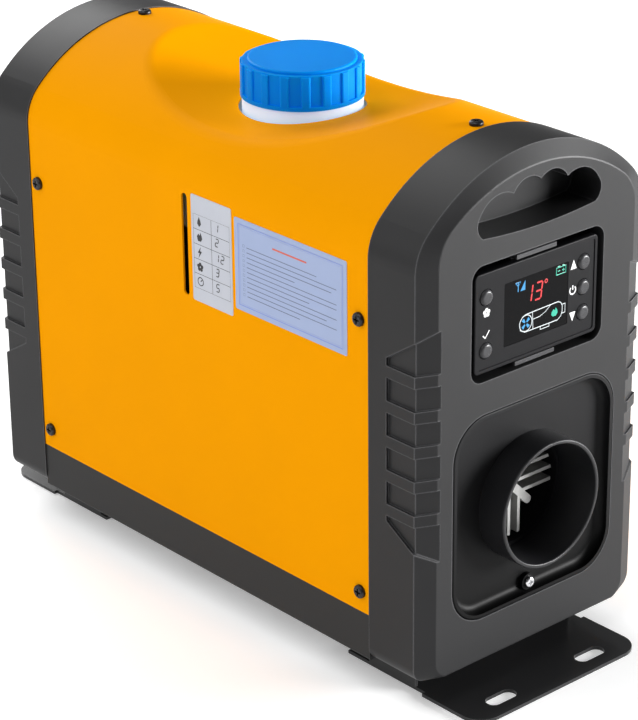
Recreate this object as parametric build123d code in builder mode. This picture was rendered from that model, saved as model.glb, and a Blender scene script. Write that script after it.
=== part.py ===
from build123d import *
import os
from math import atan2, cos, sin, sqrt

os.makedirs("parts", exist_ok=True)

# Frame: millimetres, +Z up, ground at z = 0, the front face looks along -Y,
# the case is centred on X = 0 and Y = 0.

# --- screws and clearances -------------------------------------------------
M6_R = 3.0
M4_R = 2.0
THREAD_GAP = 0.1          # screw shank to its hole, each side
HEX_R = 5.4               # M6 hex, across corners / 2
HEX_HEAD_H = 4.0
HEX_NUT_H = 4.8
HEX_SHANK = 14.0
PAN_R = 4.0
PAN_H = 2.4
PAN_LOW_H = 2.2           # flatter head of the inner screws
COVER_SHANK = 5.0
CASE_SHANK = 4.6

# --- case -----------------------------------------------------------------
BODY_LEN = 384.5          # front face to rear face
CAP_DEPTH = 41.5          # seam to face, each end
COVER_HALF_W = 85.0
COVER_T = 1.2
COVER_TOP = 314.0
BODY_LOW = 21.5           # underside of tray and caps
BAND_TOP = 49.9           # top of the tray band, lower edge of the cover
ARCH_OVER = 23.0          # arch radius beyond the half width
SHOULDER_R = 30.0
SEAM_GAP = 0.1            # cover and tray ends to the cap shoulders
SLIP = 0.2                # cover to spigot and lip
TRAY_FLOOR = 2.8
TRAY_WALL = 2.2
TRAY_LOW_R = 1.5
LIP_H = 12.0
LIP_SET = 16.75           # lip end inside the seam
TONGUE_SIDE = 15.0        # tray tongue inside the cover's side
TONGUE_REACH = 32.0
TONGUE_ROOT = 20.0
TONGUE_T = 2.5
SCREW_SET = 7.5           # cover screws inside the seam
SCREW_OVER_BAND = 12.6
SCREW_UNDER_TOP = 88.4
CAP_SCREW_X = 30.0        # screws from below, cap to tongue
CAP_SCREW_OUT = 22.0      # outside the seam

ARCH_R = COVER_HALF_W + ARCH_OVER
FACE_Y = BODY_LEN / 2
SEAM_Y = FACE_Y - CAP_DEPTH
FLOOR_Z = BODY_LOW + TRAY_FLOOR
TONGUE_HALF_W = COVER_HALF_W - TONGUE_SIDE
CAP_SCREW_Y = SEAM_Y + CAP_SCREW_OUT
BEYOND = 10.0             # cutters pass through a skin by this much

# --- end caps ---------------------------------------------------------------
CAP_PROUD = 0.8
CAP_WALL = 3.4
CAP_LOW_R = 9.0
BEVEL_DEPTH = 5.6
BEVEL_SIDE = 11.0         # flat face inside the cover's side
BEVEL_TOP = 8.6           # flat face below the cover's top
FACE_ARCH_LESS = 1.0
FACE_SHOULDER_LESS = 4.0
FACE_LOW_R = 11.0
BEVEL_SOFT_R = 1.6
NOOK_SET = 2.0
SPIGOT_LEN = 15.0
SPIGOT_T = 2.6
SPIGOT_ROOT = 5.0
SPIGOT_LOW = BAND_TOP + 0.3
FACE_HALF_W = COVER_HALF_W - BEVEL_SIDE
FACE_TOP = COVER_TOP - BEVEL_TOP
FACE_R = ARCH_R - FACE_ARCH_LESS
FACE_SHOULDER_R = SHOULDER_R - FACE_SHOULDER_LESS

# --- side grips of the caps ------------------------------------------------
GRIP_DEPTH = 1.6
GRIP_KNEE = 0.6
GRIP_REAR = 27.2          # behind the face
GRIP_FACE_CUT = 2.2       # step of the flat face beside the grip
GRIP_TOP_REAR_Z = 210.5
GRIP_TOP_BEVEL_Z = 224.8
GRIP_TOP_FACE_Z = 231.5
GRIP_LOW_REAR_Z = 114.4
GRIP_LOW_BEVEL_Z = 101.6
GRIP_LOW_FACE_Z = 93.6
RIB_COUNT = 5
RIB_TOP_Z = 206.0
RIB_PITCH = 20.3
RIB_H = 7.0

# --- duct outlet --------------------------------------------------------------
DUCT_Z = 110.2
OPENING_SIDE = 11.6       # opening inside the flat face's edge
OPENING_H = 124.0
OPENING_R = 24.0
SHROUD_GAP = 0.3
SHROUD_LIP_W = 2.6
SHROUD_LIP_R = 1.0
SHROUD_DEPTH = 6.0
SHROUD_FLOOR_R = 4.5
SHROUD_FLOOR_T = 2.6
SHROUD_PROUD = 0.35
SHROUD_EDGE = 3.0
COLLAR_R = 37.5
COLLAR_WALL = 2.4
COLLAR_EDGE_R = 0.8
COLLAR_ROOT_LESS = 0.6    # thinner where it passes the shroud
COLLAR_ROOT_GAP = 0.3
COLLAR_PROUD = 13.7
COLLAR_REACH = 22.0
COLLAR_FLANGE_R = 46.0
COLLAR_FLANGE_T = 2.4
COLLAR_SCREW_Z = 56.0
COLLAR_EAR_R = 6.0
COLLAR_BOSS_R = 5.0
COLLAR_BOSS_H = 3.0
COLLAR_HEAD_R = 3.3
COLLAR_HEAD_H = 2.0
COLLAR_SHANK = 8.5
OPENING_W = 2 * (FACE_HALF_W - OPENING_SIDE)
COLLAR_ROOT_R = COLLAR_R - COLLAR_ROOT_LESS

# --- finger handle ------------------------------------------------------------
HANDLE_HALF_W = 46.4
HANDLE_UNDER_TOP = 43.2   # sill below the cover's top
HANDLE_DEPTH = 22.0
HANDLE_WALL = 2.4
HANDLE_LOW_Z = COVER_TOP - HANDLE_UNDER_TOP

# --- controller ---------------------------------------------------------------
CTRL_UNDER_HANDLE = 46.3
CTRL_W = 93.3
CTRL_H = 57.4
CTRL_R = 3.0
CTRL_EDGE_R = 0.8
CTRL_RIM = 2.2
CTRL_RIM_H = 0.5
POCKET_W = 100.0
POCKET_H = 67.0
POCKET_OVER = 0.5         # pocket's middle above the controller's
POCKET_R = 8.0
POCKET_DEPTH = 26.0
POCKET_WALL = 2.5
BEZEL_SET = 1.1           # bezel face behind the front face
BEZEL_T = 3.6
WINDOW_W = 48.9
WINDOW_H = 36.6
WINDOW_R = 1.0
WINDOW_GAP = 0.1
LENS_SET = 0.7            # lens behind the bezel's rim
LENS_EDGE = 1.5           # lens flange beyond the window
LENS_FLANGE_T = 1.2
BUTTON_R = 4.55
BUTTON_GAP = 0.35
BUTTON_LEFT_X = -37.9
BUTTON_RIGHT_X = 36.0
BUTTON_FAN_UP = 14.5      # above the controller's middle
BUTTON_OK_UP = -16.0
BUTTON_UP_UP = 14.9
BUTTON_POWER_UP = 0.1
BUTTON_DOWN_UP = -14.7
BUTTON_FLANGE_R = 5.4
BUTTON_FLANGE_T = 1.0
BUTTON_SEAT = 0.2         # flange behind the bezel
BUTTON_PROUD = 1.0
BUTTON_DOME_R = 2.0
BUTTON_STEM_R = 2.0
BUTTON_TRAVEL = 0.8
KEY_SIZE = 6.0            # switch under each button
KEY_H = 3.0
SHELL_DEPTH = 15.5        # controller back box
SHELL_T = 1.6
SHELL_SIDE = 0.85         # back box inside the bezel's edge
SHELL_UNDER = 1.5
PCB_SET = 7.0             # board behind the bezel
PCB_T = 1.6
PCB_SIDE = 1.2            # board inside the back box's walls
PCB_R = 1.2
PCB_GAP = 0.3             # lens to the display block
POST_R = 2.2
POST_IN_X = 7.65
POST_IN_Z = 7.7
CABLE_R = 3.0
CABLE_GAP = 0.3
DATA_X = 20.0             # display cable leaves here
DATA_UNDER = 9.5
CLIP_HALF_W = 15.0
CLIP_NECK = 2.4
CLIP_OFF = 0.8            # clip clear of the bezel
CLIP_FRONT = 2.0          # behind the face
CLIP_KNEE = 12.0
CLIP_REAR = 14.0
CLIP_TOE = 7.0
CLIP_BEND = 0.5
CLIP_GAP = 0.05

CTRL_Z = HANDLE_LOW_Z - CTRL_UNDER_HANDLE
POCKET_Z = CTRL_Z + POCKET_OVER
DATA_Z = CTRL_Z - DATA_UNDER
BEZEL_BACK = -FACE_Y + BEZEL_SET + BEZEL_T
SHELL_BACK = BEZEL_BACK + SHELL_DEPTH
SHELL_W = CTRL_W - 2 * SHELL_SIDE
SHELL_H = CTRL_H - 2 * SHELL_UNDER
PCB_FRONT = BEZEL_BACK + PCB_SET
BUTTONS = {
    "button_fan": (BUTTON_LEFT_X, CTRL_Z + BUTTON_FAN_UP),
    "button_ok": (BUTTON_LEFT_X, CTRL_Z + BUTTON_OK_UP),
    "button_up": (BUTTON_RIGHT_X, CTRL_Z + BUTTON_UP_UP),
    "button_power": (BUTTON_RIGHT_X, CTRL_Z + BUTTON_POWER_UP),
    "button_down": (BUTTON_RIGHT_X, CTRL_Z + BUTTON_DOWN_UP),
}

# --- labels -------------------------------------------------------------------
LABEL_T = 0.25
LABEL_R = 1.2
LABEL_SET = 63.35         # notice label's middle inside the seam
LABEL_STEP = 66.5
SLOT_STEP = 23.9          # level slot behind the rating label's middle
RATING_UNDER_TOP = 87.1
RATING_W = 35.2
RATING_H = 64.0
NOTICE_UNDER_TOP = 85.8
NOTICE_W = 92.6
NOTICE_H = 54.6
NOTICE_Y = LABEL_SET - SEAM_Y
RATING_Y = NOTICE_Y + LABEL_STEP
SLOT_Y = RATING_Y + SLOT_STEP

# --- brackets -----------------------------------------------------------------
PLATE_T = 2.0
FLANGE_SIDE = 19.6        # flange inside the cover's side
FLANGE_OUT = 26.0         # flange edge beyond the face
FLANGE_IN = 20.0          # flange notch behind the face
FLANGE_R = 14.0
FLANGE_STEP = 2.4         # flange wider than the plate, each side
SLOT_SPACING = 71.2
SLOT_L = 20.9
SLOT_W = 9.3
SLOT_OUT = 12.6
EAR_FROM = 28.0
EAR_TO = 66.0
EAR_TAB_W = 16.0
EAR_HOLE_IN = 9.0         # ear screw inside the plate's side
PLATE_REACH_FRONT = 84.0
PLATE_REACH_REAR = 72.0
EAR_SCREW_OUT = -6.0      # ear screw against the seam
FLANGE_HALF_W = COVER_HALF_W - FLANGE_SIDE
PLATE_HALF_W = FLANGE_HALF_W - FLANGE_STEP
EAR_SCREW_X = PLATE_HALF_W - EAR_HOLE_IN
EAR_SCREW_Y = SEAM_Y + EAR_SCREW_OUT

# --- heater ------------------------------------------------------------------
CASING_SIDE = 23.0        # air jacket inside the cover's side
CASING_R = 24.0
CASING_T = 2.2
CASING_NOSE_R = 6.0
CASING_SET = 42.25        # behind the front face
CASING_REAR = 121.0
RIM_SIDE = 3.0            # joint rim of the two casings
RIM_H = 4.0
RIM_END = 10.0
NOSE_GAP = 0.3            # nose inside the collar's bore
NOSE_SET = 14.25
CORE_HALF = 33.0
CORE_R = 16.0
CORE_T = 4.0
CORE_SET = 4.0            # behind the casing's front
CORE_REAR = 4.0
FIN_REAR_SET = 8.0
FIN_GAP = 10.0            # fin tips inside the casing's side
FIN_T = 2.0
FIN_PITCH = 10.0
FIN_NOSE_GAP = 3.6
FIN_NOSE_SET = 1.0        # fin front behind the nose
FIN_NOSE_PITCH = 7.5
FIN_NOSE_ROWS = 5
NOSE_RIB_T = 5.0          # diagonal rib between the level and the upright fins
NOSE_RIB_REACH = 18.0
FOOT_HALF_W = 34.0
FOOT_FRONT = -46.0
FOOT_REAR = 18.0
FOOT_SCREW_IN = 8.0
FOOT_SCREW_SIDE = 7.0
FOOT_GAP = 2.0            # foot to the casing's cut
GASKET_PLATE_T = 3.0
GASKET_EDGE = 1.0
GASKET_R = 6.0
EXHAUST_Y = -22.0
AIR_Y = 41.0
STUB_R = 12.0
STUB_T = 1.5
STUB_LOW = 4.0
STUB_HOSE_L = 16.0        # hose length on a stub
STUB_RING_R = 14.0        # shoulder under the tray
STUB_RING_GAP = 0.2
STUB_NECK_LESS = 0.6
STUB_SOCKET = 12.0        # socket in the foot
STUB_GAP = 0.4
STUB_FLANGE_R = 17.0
STUB_FLANGE_T = 2.0
BURNER_R = 22.0
BURNER_T = 1.5
BURNER_SET = 41.0         # behind the exchanger's front
HEAD_SPIGOT = 12.0        # burner head into the tube
HEAD_REAR = 20.0
HEAD_BORE_R = 9.0
PLUG_Y = 12.0             # glow plug and fuel inlet
PLUG_R = 3.9
PLUG_HEX_R = 6.4
PLUG_HEX_H = 8.0
PLUG_PIN_R = 1.6
PLUG_ROOT = 10.0
PLUG_PIN = 15.0
INLET_DROP = 13.2         # fuel inlet below the axis
INLET_IN = 21.0           # inlet tube inside the core's side
INLET_OUT = 22.0
INLET_COLLAR_R = 4.4
INLET_COLLAR_H = 4.0
SENSOR_Y = -20.0
SENSOR_R = 2.4
SENSOR_BASE_R = 3.4
SENSOR_BASE_H = 3.0
SENSOR_H = 14.0
BLOWER_HALF = 44.0
BLOWER_REAR = 50.0
BLOWER_R = 14.0
BLOWER_CAVITY_R = 38.0
BLOWER_WALL = 12.0        # solid wall before the cavity
BLOWER_INLET_R = 8.0
PLATE_REAR = 54.0
MOTOR_R = 30.0
MOTOR_T = 2.0
MOTOR_REAR = 96.0
MOTOR_END_T = 5.0
BEARING_R = 8.0
SHAFT_R = 3.0
SHAFT_GAP = 0.05
SHAFT_HOLE_GAP = 1.2
SHAFT_OVER = 1.0          # shaft beyond the impeller
FAN_SHAFT_OVER = 2.0      # and beyond the fan
STATOR_T = 5.0
STATOR_END = 3.0
ARMATURE_GAP = 1.0
IMPELLER_FRONT = 37.0
IMPELLER_GAP = 4.0        # impeller to its cavity
IMPELLER_BLADE = 20.0
IMPELLER_BLADE_SET = 11.5
IMPELLER_TURN = 24
IMPELLER_BLADES = 12
IMPELLER_HUB_R = 6.5
IMPELLER_T = 2.0
IMPELLER_H = 8.0
FAN_FRONT = 100.0
FAN_H = 16.0
FAN_HUB_R = 13.0
FAN_GAP = 2.0             # fan tips to the intake pipe's bore
FAN_ROOT = 3.0
FAN_BLADES = 7
FAN_CHORD = 18.0
FAN_TURN = 38
BLADE_T = 1.6
BOARD_DROP = 16.0         # board below the casing's top
BOARD_T = 1.6
BOARD_Y = 62.0
BOARD_W = 68.0
BOARD_L = 64.0
BOARD_HOLES_X = 60.0
BOARD_HOLES_Y = 56.0
BOARD_POST_R = 3.0
BOARD_SCREW_R = 1.2
BOARD_R = 2.0
BOARD_HEX_R = 2.6
BOARD_HEX_H = 1.8
BOARD_SHANK = 9.0
CABLE_PLUG_W = 12.0
CABLE_PLUG_L = 9.0
CABLE_PLUG_H = 6.0
CHIP_SIZE = 16.0
CHIP_H = 3.0
CHIP_OFF = 10.0
RELAY_SIZE = 12.0
RELAY_X = 18.0
RELAY_OFF = 14.0
POWER_IN = (-25.0, 60.0)
DATA_IN = (20.0, 50.0)
PIPE_SET = 12.0           # intake pipe inside the casing's side
PIPE_T = 2.0
PIPE_FLANGE = 6.0
PIPE_GAP = 0.4
GRILLE_OVER = 2.3         # grille hole beyond the pipe
GRILLE_RIM = 3.0
GRILLE_T = 2.0
GRILLE_BAR = 2.4
GRILLE_PITCH = 10.0
GRILLE_HUB_R = 5.0
GRILLE_SPOKES = 8
GRILLE_GAP = 0.3
GRILLE_SLEEVE_T = 2.3

CASING_HALF = COVER_HALF_W - CASING_SIDE
CASING_FRONT = -FACE_Y + CASING_SET
NOSE_R = COLLAR_R - COLLAR_WALL - NOSE_GAP
NOSE_FRONT = -FACE_Y + NOSE_SET
CORE_FRONT = CASING_FRONT + CORE_SET
BURNER_FRONT = CORE_FRONT + BURNER_SET
FIN_NOSE_R = NOSE_R - CASING_T - FIN_NOSE_GAP
FIN_FRONT = NOSE_FRONT + FIN_NOSE_SET
CASING_TOP = DUCT_Z + CASING_HALF
FIN_HALF = CASING_HALF - FIN_GAP
FOOT_Y = (FOOT_FRONT + FOOT_REAR) / 2
FOOT_SCREW_X = FOOT_HALF_W - FOOT_SCREW_SIDE
FOOT_SCREW_YS = (FOOT_FRONT + FOOT_SCREW_IN, FOOT_REAR - FOOT_SCREW_IN)
STUB_NECK_R = STUB_R - STUB_NECK_LESS
STUB_HOSE_TOP = STUB_LOW + STUB_HOSE_L
INLET_Z = DUCT_Z - INLET_DROP
INLET_END = CORE_HALF + INLET_OUT
BOARD_Z = CASING_TOP - BOARD_DROP
PIPE_R = CASING_HALF - PIPE_SET
GRILLE_HOLE_R = PIPE_R + GRILLE_OVER

# --- fuel tank and filler -----------------------------------------------------
DISH_DROP = 23.5          # filler well below the cover's top
DISH_R = 255.0
DISH_SOFT_R = 14.0
NECK_Y = -2.0
NECK_COLLAR_UP = 7.7      # collar top above the well
NECK_R = 31.2
NECK_H = 16.3             # threaded neck above its collar
NECK_WALL = 3.7
NECK_COLLAR_OVER = 0.3    # neck collar beyond the cap's groove
WELL_GAP = 2.0            # neck collar to the well's hole
LEVEL_OVER = 7.6          # level slot above the tank's floor
LEVEL_UNDER = 24.8        # and below its top
LEVEL_W = 5.0
TANK_END = 16.75          # tank end inside the seam
TANK_DROP = 8.5           # tank top below the well
TANK_OVER_CASING = 15.8
TANK_T = 3.0
TANK_R = 16.0
TANK_TOP_R = 15.0
TANK_LOW_R = 8.0
CAP_LIFT_GAP = 0.2        # filler cap above the neck collar
CAP_FIT = 0.4             # cap to the neck
CAP_SKIRT_T = 3.1
CAP_RIB_PROUD = 1.2
CAP_RIBS = 18
CAP_RIB_TURN = 12.0       # first rib's angle at rest
CAP_RIB_T = 3.5
CAP_RIB_W = 5.2
CAP_RIB_R = 0.9
CAP_RIB_SET = 1.8
CAP_RIB_UNDER = 0.6
CAP_RIM_H = 2.4
CAP_SIDE_H = 20.4
CAP_CROWN_H = 1.7
CAP_STEP = 3.1            # raised disc inside the groove radius
CAP_TOP_R = 1.2
GASKET_T = 2.1
GASKET_GAP = 0.3
CRADLE_SIDE = 9.0         # cradle inside the cover's side
CRADLE_EDGE = 2.0         # cradle beyond the tank
CRADLE_T = 2.0
CRADLE_STOP_H = 3.0
CRADLE_STOP_T = 1.8
CRADLE_STOP_SIDE = 20.0
CRADLE_LEG_Y = 95.0
CRADLE_LEG_W = 30.0
CRADLE_FOOT_W = 14.0
CRADLE_FOOT_OVER = 2.0
CRADLE_SCREW_IN = 6.0

DISH_Z = COVER_TOP - DISH_DROP
NECK_COLLAR_TOP = DISH_Z + NECK_COLLAR_UP
NECK_TOP = NECK_COLLAR_TOP + NECK_H
CAP_INNER_R = NECK_R + CAP_FIT
CAP_GROOVE_R = CAP_INNER_R + CAP_SKIRT_T
CAP_R = CAP_GROOVE_R + CAP_RIB_PROUD
CAP_DISC_R = CAP_GROOVE_R - CAP_STEP
NECK_BORE_R = NECK_R - NECK_WALL
NECK_COLLAR_R = CAP_GROOVE_R + NECK_COLLAR_OVER
WELL_HOLE_R = NECK_COLLAR_R + WELL_GAP
CAP_LOW_Z = NECK_COLLAR_TOP + CAP_LIFT_GAP
CAP_SIDE_TOP = CAP_LOW_Z + CAP_SIDE_H
CAP_TOP_Z = CAP_SIDE_TOP + CAP_CROWN_H
TANK_TOP = DISH_Z - TANK_DROP
TANK_LOW = CASING_TOP + TANK_OVER_CASING
TANK_HALF_LEN = SEAM_Y - TANK_END
CRADLE_HALF_W = COVER_HALF_W - CRADLE_SIDE
TANK_HALF_W = CRADLE_HALF_W - CRADLE_EDGE
CRADLE_SCREW_X = CRADLE_HALF_W - CRADLE_SCREW_IN
LEVEL_LOW_Z = TANK_LOW + LEVEL_OVER
LEVEL_TOP_Z = TANK_TOP - LEVEL_UNDER

# --- fuel way and wiring --------------------------------------------------------
HOSE_R = 3.5
HOSE_BORE_R = 2.1
HOSE_GRIP = 5.0           # hose over a barb's end
HOSE_GAP = 0.5
BARB_R = 2.0
BARB_L = 6.0
OUTLET_IN = 24.0          # tank outlet inside the tank's side
OUTLET_OVER = 13.0        # above the tank's floor
OUTLET_STEM_R = 4.0
OUTLET_HEX_R = 8.0
OUTLET_HEX_H = 4.0
OUTLET_L = 16.0
FILTER_R = 9.0
FILTER_EDGE_R = 2.0
PUMP_R = 12.8
PUMP_L = 42.0
PUMP_EDGE_R = 1.5
PUMP_NECK_R = 6.0
PUMP_NECK = 3.0
PUMP_SET = 24.25          # pump axis inside the rear face
CLAMP_W = 12.0
CLAMP_T = 2.6
CLAMP_FOOT = 10.0
CLAMP_FOOT_H = 14.0
CLAMP_GAP = 0.05
HOSE_OFF = 9.0            # down hose beside the casing
HOSE_OFF_END = 1.0        # hose end to what it is pushed to
HOSE_TANK_RUN = 17.0      # tank outlet to the filter
HOSE_LINK = 8.0           # filter to pump
HOSE_DROP_RUN = 12.0      # pump to the down hose
HOSE_BEND_R = 14.0
LINE_BEND_R = 10.0
CABLE_BEND_R = 8.0
SOCKET_IN = 14.0          # power socket inside the flat face's side
SOCKET_UNDER_TOP = 79.0
SOCKET_R = 10.0
SOCKET_CUP_R = 8.0
SOCKET_GAP = 0.2
SOCKET_PLATE = 24.0
SOCKET_PLATE_R = 2.5
SOCKET_T = 2.0
SOCKET_L = 15.0
SOCKET_FLOOR = 5.0
PIN_R = 1.5
PIN_PITCH = 7.0
POWER_DROP = 26.0         # power cable's drop behind the tank
DATA_DROP = 16.0          # display cable's drop before the tank
CABLE_OVER = 7.8          # cables over the air jacket

FUEL_X = -(TANK_HALF_W - OUTLET_IN)
FUEL_Z = TANK_LOW + OUTLET_OVER
PUMP_Y = FACE_Y - PUMP_SET
HOSE_X = CASING_HALF + HOSE_OFF
PUMP_X = HOSE_X - HOSE_DROP_RUN - HOSE_OFF_END - PUMP_NECK - PUMP_L / 2
FILTER_IN = FUEL_X + HOSE_TANK_RUN + HOSE_OFF_END
FILTER_OUT = PUMP_X - PUMP_L / 2 - PUMP_NECK - HOSE_LINK - 2 * HOSE_OFF_END
FILTER_L = FILTER_OUT - FILTER_IN
FILTER_X = (FILTER_IN + FILTER_OUT) / 2
SOCKET_X = -(FACE_HALF_W - SOCKET_IN)
SOCKET_Z = COVER_TOP - SOCKET_UNDER_TOP
CABLE_Z = CASING_TOP + CABLE_OVER

AXIS = Plane(origin=(0, 0, DUCT_Z), x_dir=(1, 0, 0), z_dir=(0, 1, 0))
UP = (Align.CENTER, Align.CENTER, Align.MIN)
DOWN = (Align.CENTER, Align.CENTER, Align.MAX)


def arch(plane, half_w, low, top, arch_r, shoulder_r, low_r=0.0):
    """Arched outline: flat bottom, straight sides, round shoulders, wide top arc."""
    centre_z = top - arch_r
    sx = half_w - shoulder_r
    sz = centre_z + sqrt((arch_r - shoulder_r) ** 2 - sx ** 2)
    turn = atan2(sz - centre_z, sx)
    tx = sx + shoulder_r * cos(turn)
    tz = sz + shoulder_r * sin(turn)
    mx = sx + shoulder_r * cos(turn / 2)
    mz = sz + shoulder_r * sin(turn / 2)
    with BuildSketch(plane) as outline:
        with BuildLine():
            Line((-half_w, low), (-half_w, sz))
            ThreePointArc((-half_w, sz), (-mx, mz), (-tx, tz))
            ThreePointArc((-tx, tz), (0, top), (tx, tz))
            ThreePointArc((tx, tz), (mx, mz), (half_w, sz))
            Line((half_w, sz), (half_w, low))
            Line((half_w, low), (-half_w, low))
        make_face()
        if low_r > 0:
            fillet(outline.vertices().sort_by(Axis.Y)[:2], low_r)
    return outline.sketch


def round_box(plane, width, height, radius):
    """Rounded rectangle on a plane."""
    with BuildSketch(plane) as outline:
        RectangleRounded(width, height, radius)
    return outline.sketch


def upright(y, z=0.0):
    """Upright plane whose normal looks to the front."""
    return Plane(origin=(0, y, z), x_dir=(1, 0, 0), z_dir=(0, -1, 0))


def pan_screw(head_r, head_h, shank_r, shank_len):
    """Pan-head screw, seat at the origin, head up."""
    with BuildPart() as screw:
        Cylinder(head_r, head_h, align=UP)
        fillet(screw.edges().group_by(Axis.Z)[-1], head_h * 0.6)
        with Locations((0, 0, head_h)):
            Box(head_r * 1.1, head_r * 0.26, head_h, mode=Mode.SUBTRACT)
            Box(head_r * 0.26, head_r * 1.1, head_h, mode=Mode.SUBTRACT)
        Cylinder(shank_r, shank_len, align=(Align.CENTER, Align.CENTER, Align.MAX))
    return screw.part


def hex_screw(head_r, head_h, shank_r, shank_len):
    """Hex-head screw, seat at the origin, head down, shank up."""
    with BuildPart() as screw:
        with BuildSketch(Plane.XY):
            RegularPolygon(head_r, 6)
        extrude(amount=-head_h)
        Cylinder(shank_r, shank_len, align=UP)
    return screw.part


def swept_tube(path, outer_r, bore_r=0.0):
    """Round hose or cable along a path wire."""
    start = path @ 0
    along = path % 0
    plane = Plane(origin=start, z_dir=along)
    with BuildPart() as tube:
        with BuildSketch(plane):
            Circle(outer_r)
            if bore_r > 0:
                Circle(bore_r, mode=Mode.SUBTRACT)
        sweep(path=path)
    return tube.part


def cover_screw_places():
    """Seats of the ten cover screws with their outward direction."""
    places = []
    for y in (-SEAM_Y + SCREW_SET, SEAM_Y - SCREW_SET):
        for z in (BAND_TOP + SCREW_OVER_BAND, COVER_TOP - SCREW_UNDER_TOP):
            places.append(Location((-COVER_HALF_W, y, z), (0, -90, 0)))
            places.append(Location((COVER_HALF_W, y, z), (0, 90, 0)))
        places.append(Location((0, y, COVER_TOP)))
    return places


# --- case pieces ------------------------------------------------------------

def make_base_tray():
    band_len = 2 * (SEAM_Y - SEAM_GAP)
    inner_w = 2 * (COVER_HALF_W - COVER_T - SLIP - TRAY_WALL)
    with BuildPart() as base_tray:
        with Locations((0, 0, BODY_LOW)):
            Box(2 * COVER_HALF_W, band_len, BAND_TOP - BODY_LOW, align=UP)
        fillet(base_tray.edges().filter_by(Axis.Y).group_by(Axis.Z)[0], TRAY_LOW_R)
        with Locations((0, 0, BAND_TOP)):
            Box(inner_w + 2 * TRAY_WALL, 2 * (SEAM_Y - LIP_SET), LIP_H, align=UP)
        with Locations((0, 0, FLOOR_Z)):
            Box(inner_w, band_len + BEYOND, BAND_TOP, align=UP, mode=Mode.SUBTRACT)
        tongue_y = SEAM_Y + (TONGUE_REACH - TONGUE_ROOT) / 2
        with Locations((0, tongue_y, FLOOR_Z), (0, -tongue_y, FLOOR_Z)):
            Box(2 * TONGUE_HALF_W, TONGUE_REACH + TONGUE_ROOT, TONGUE_T, align=UP)
        with Locations((0, EXHAUST_Y, FLOOR_Z), (0, AIR_Y, FLOOR_Z)):
            Cylinder(STUB_R + STUB_GAP, 2 * BEYOND, mode=Mode.SUBTRACT)
        for y in (-EAR_SCREW_Y, EAR_SCREW_Y):
            with Locations((EAR_SCREW_X, y, FLOOR_Z), (-EAR_SCREW_X, y, FLOOR_Z)):
                Cylinder(M6_R, 2 * BEYOND, mode=Mode.SUBTRACT)
        for y in FOOT_SCREW_YS:
            with Locations((FOOT_SCREW_X, y, FLOOR_Z), (-FOOT_SCREW_X, y, FLOOR_Z)):
                Cylinder(M6_R, 2 * BEYOND, mode=Mode.SUBTRACT)
        for y in (-CRADLE_LEG_Y, CRADLE_LEG_Y):
            with Locations((CRADLE_SCREW_X, y, FLOOR_Z), (-CRADLE_SCREW_X, y, FLOOR_Z)):
                Cylinder(M4_R, 2 * BEYOND, mode=Mode.SUBTRACT)
        for y in (-CAP_SCREW_Y, CAP_SCREW_Y):
            with Locations((CAP_SCREW_X, y, FLOOR_Z), (-CAP_SCREW_X, y, FLOOR_Z)):
                Cylinder(M4_R, 2 * BEYOND, mode=Mode.SUBTRACT)
    base_tray.part.label = "base_tray"
    export_step(base_tray.part, "parts/base_tray.step")


def dish_press(inset):
    """Wide hollow roll above the case that presses the filler well into the top."""
    radius = DISH_R + inset
    low = DISH_Z - inset
    half = radius / 2
    rise = radius - sqrt(radius ** 2 - half ** 2)
    lid = low + rise + COVER_HALF_W
    with BuildPart() as press:
        with BuildSketch(Plane.YZ.offset(-COVER_HALF_W - BEYOND)):
            with BuildLine():
                ThreePointArc((-half, low + rise), (0, low), (half, low + rise))
                Polyline((half, low + rise), (half, lid), (-half, lid), (-half, low + rise))
            make_face()
        extrude(amount=2 * (COVER_HALF_W + BEYOND))
    return press.part


def cover_form(inset):
    """Cover volume, inset from the outer skin, with the filler well pressed in."""
    half_len = SEAM_Y - SEAM_GAP + inset
    with BuildPart() as form:
        outline = arch(upright(half_len), COVER_HALF_W - inset, BAND_TOP + SEAM_GAP - inset,
                       COVER_TOP - inset, ARCH_R - inset, SHOULDER_R - inset)
        extrude(outline, amount=2 * half_len)
        add(dish_press(inset), mode=Mode.SUBTRACT)
        rim = form.faces().sort_by_distance((0, 0, DISH_Z - inset))[0].edges()
        fillet(rim, DISH_SOFT_R - inset)
    return form.part


def make_cover():
    with BuildPart() as cover:
        add(cover_form(0.0))
        add(cover_form(COVER_T), mode=Mode.SUBTRACT)
        with Locations((0, NECK_Y, DISH_Z)):
            Cylinder(WELL_HOLE_R, 3 * BEYOND, mode=Mode.SUBTRACT)
        with BuildSketch(Plane.YZ.offset(-COVER_HALF_W - COVER_T)):
            with Locations((SLOT_Y, (LEVEL_LOW_Z + LEVEL_TOP_Z) / 2)):
                SlotOverall(LEVEL_TOP_Z - LEVEL_LOW_Z, LEVEL_W, rotation=90)
        extrude(amount=3 * COVER_T, mode=Mode.SUBTRACT)
        with Locations(*cover_screw_places()):
            Cylinder(M4_R + THREAD_GAP, BEYOND, mode=Mode.SUBTRACT)
    cover.part.label = "cover"
    export_step(cover.part, "parts/cover.step")


def grip_band(side_x, bevel_x, z_low, z_top):
    """Upright prism between a line inside the side and the open air, left side."""
    rear = -FACE_Y + GRIP_REAR
    run = BEVEL_DEPTH + GRIP_KNEE
    knee = -FACE_Y + run
    front = -FACE_Y - 1.0
    slope = (side_x - bevel_x) / run
    with BuildPart() as band:
        with BuildSketch(Plane.XY.offset(z_low)):
            with BuildLine():
                Polyline((-side_x, rear), (-side_x, knee), (-bevel_x + slope, front),
                         (-side_x - BEYOND, front), (-side_x - BEYOND, rear), close=True)
            make_face()
        extrude(amount=z_top - z_low)
    return band.part


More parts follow.
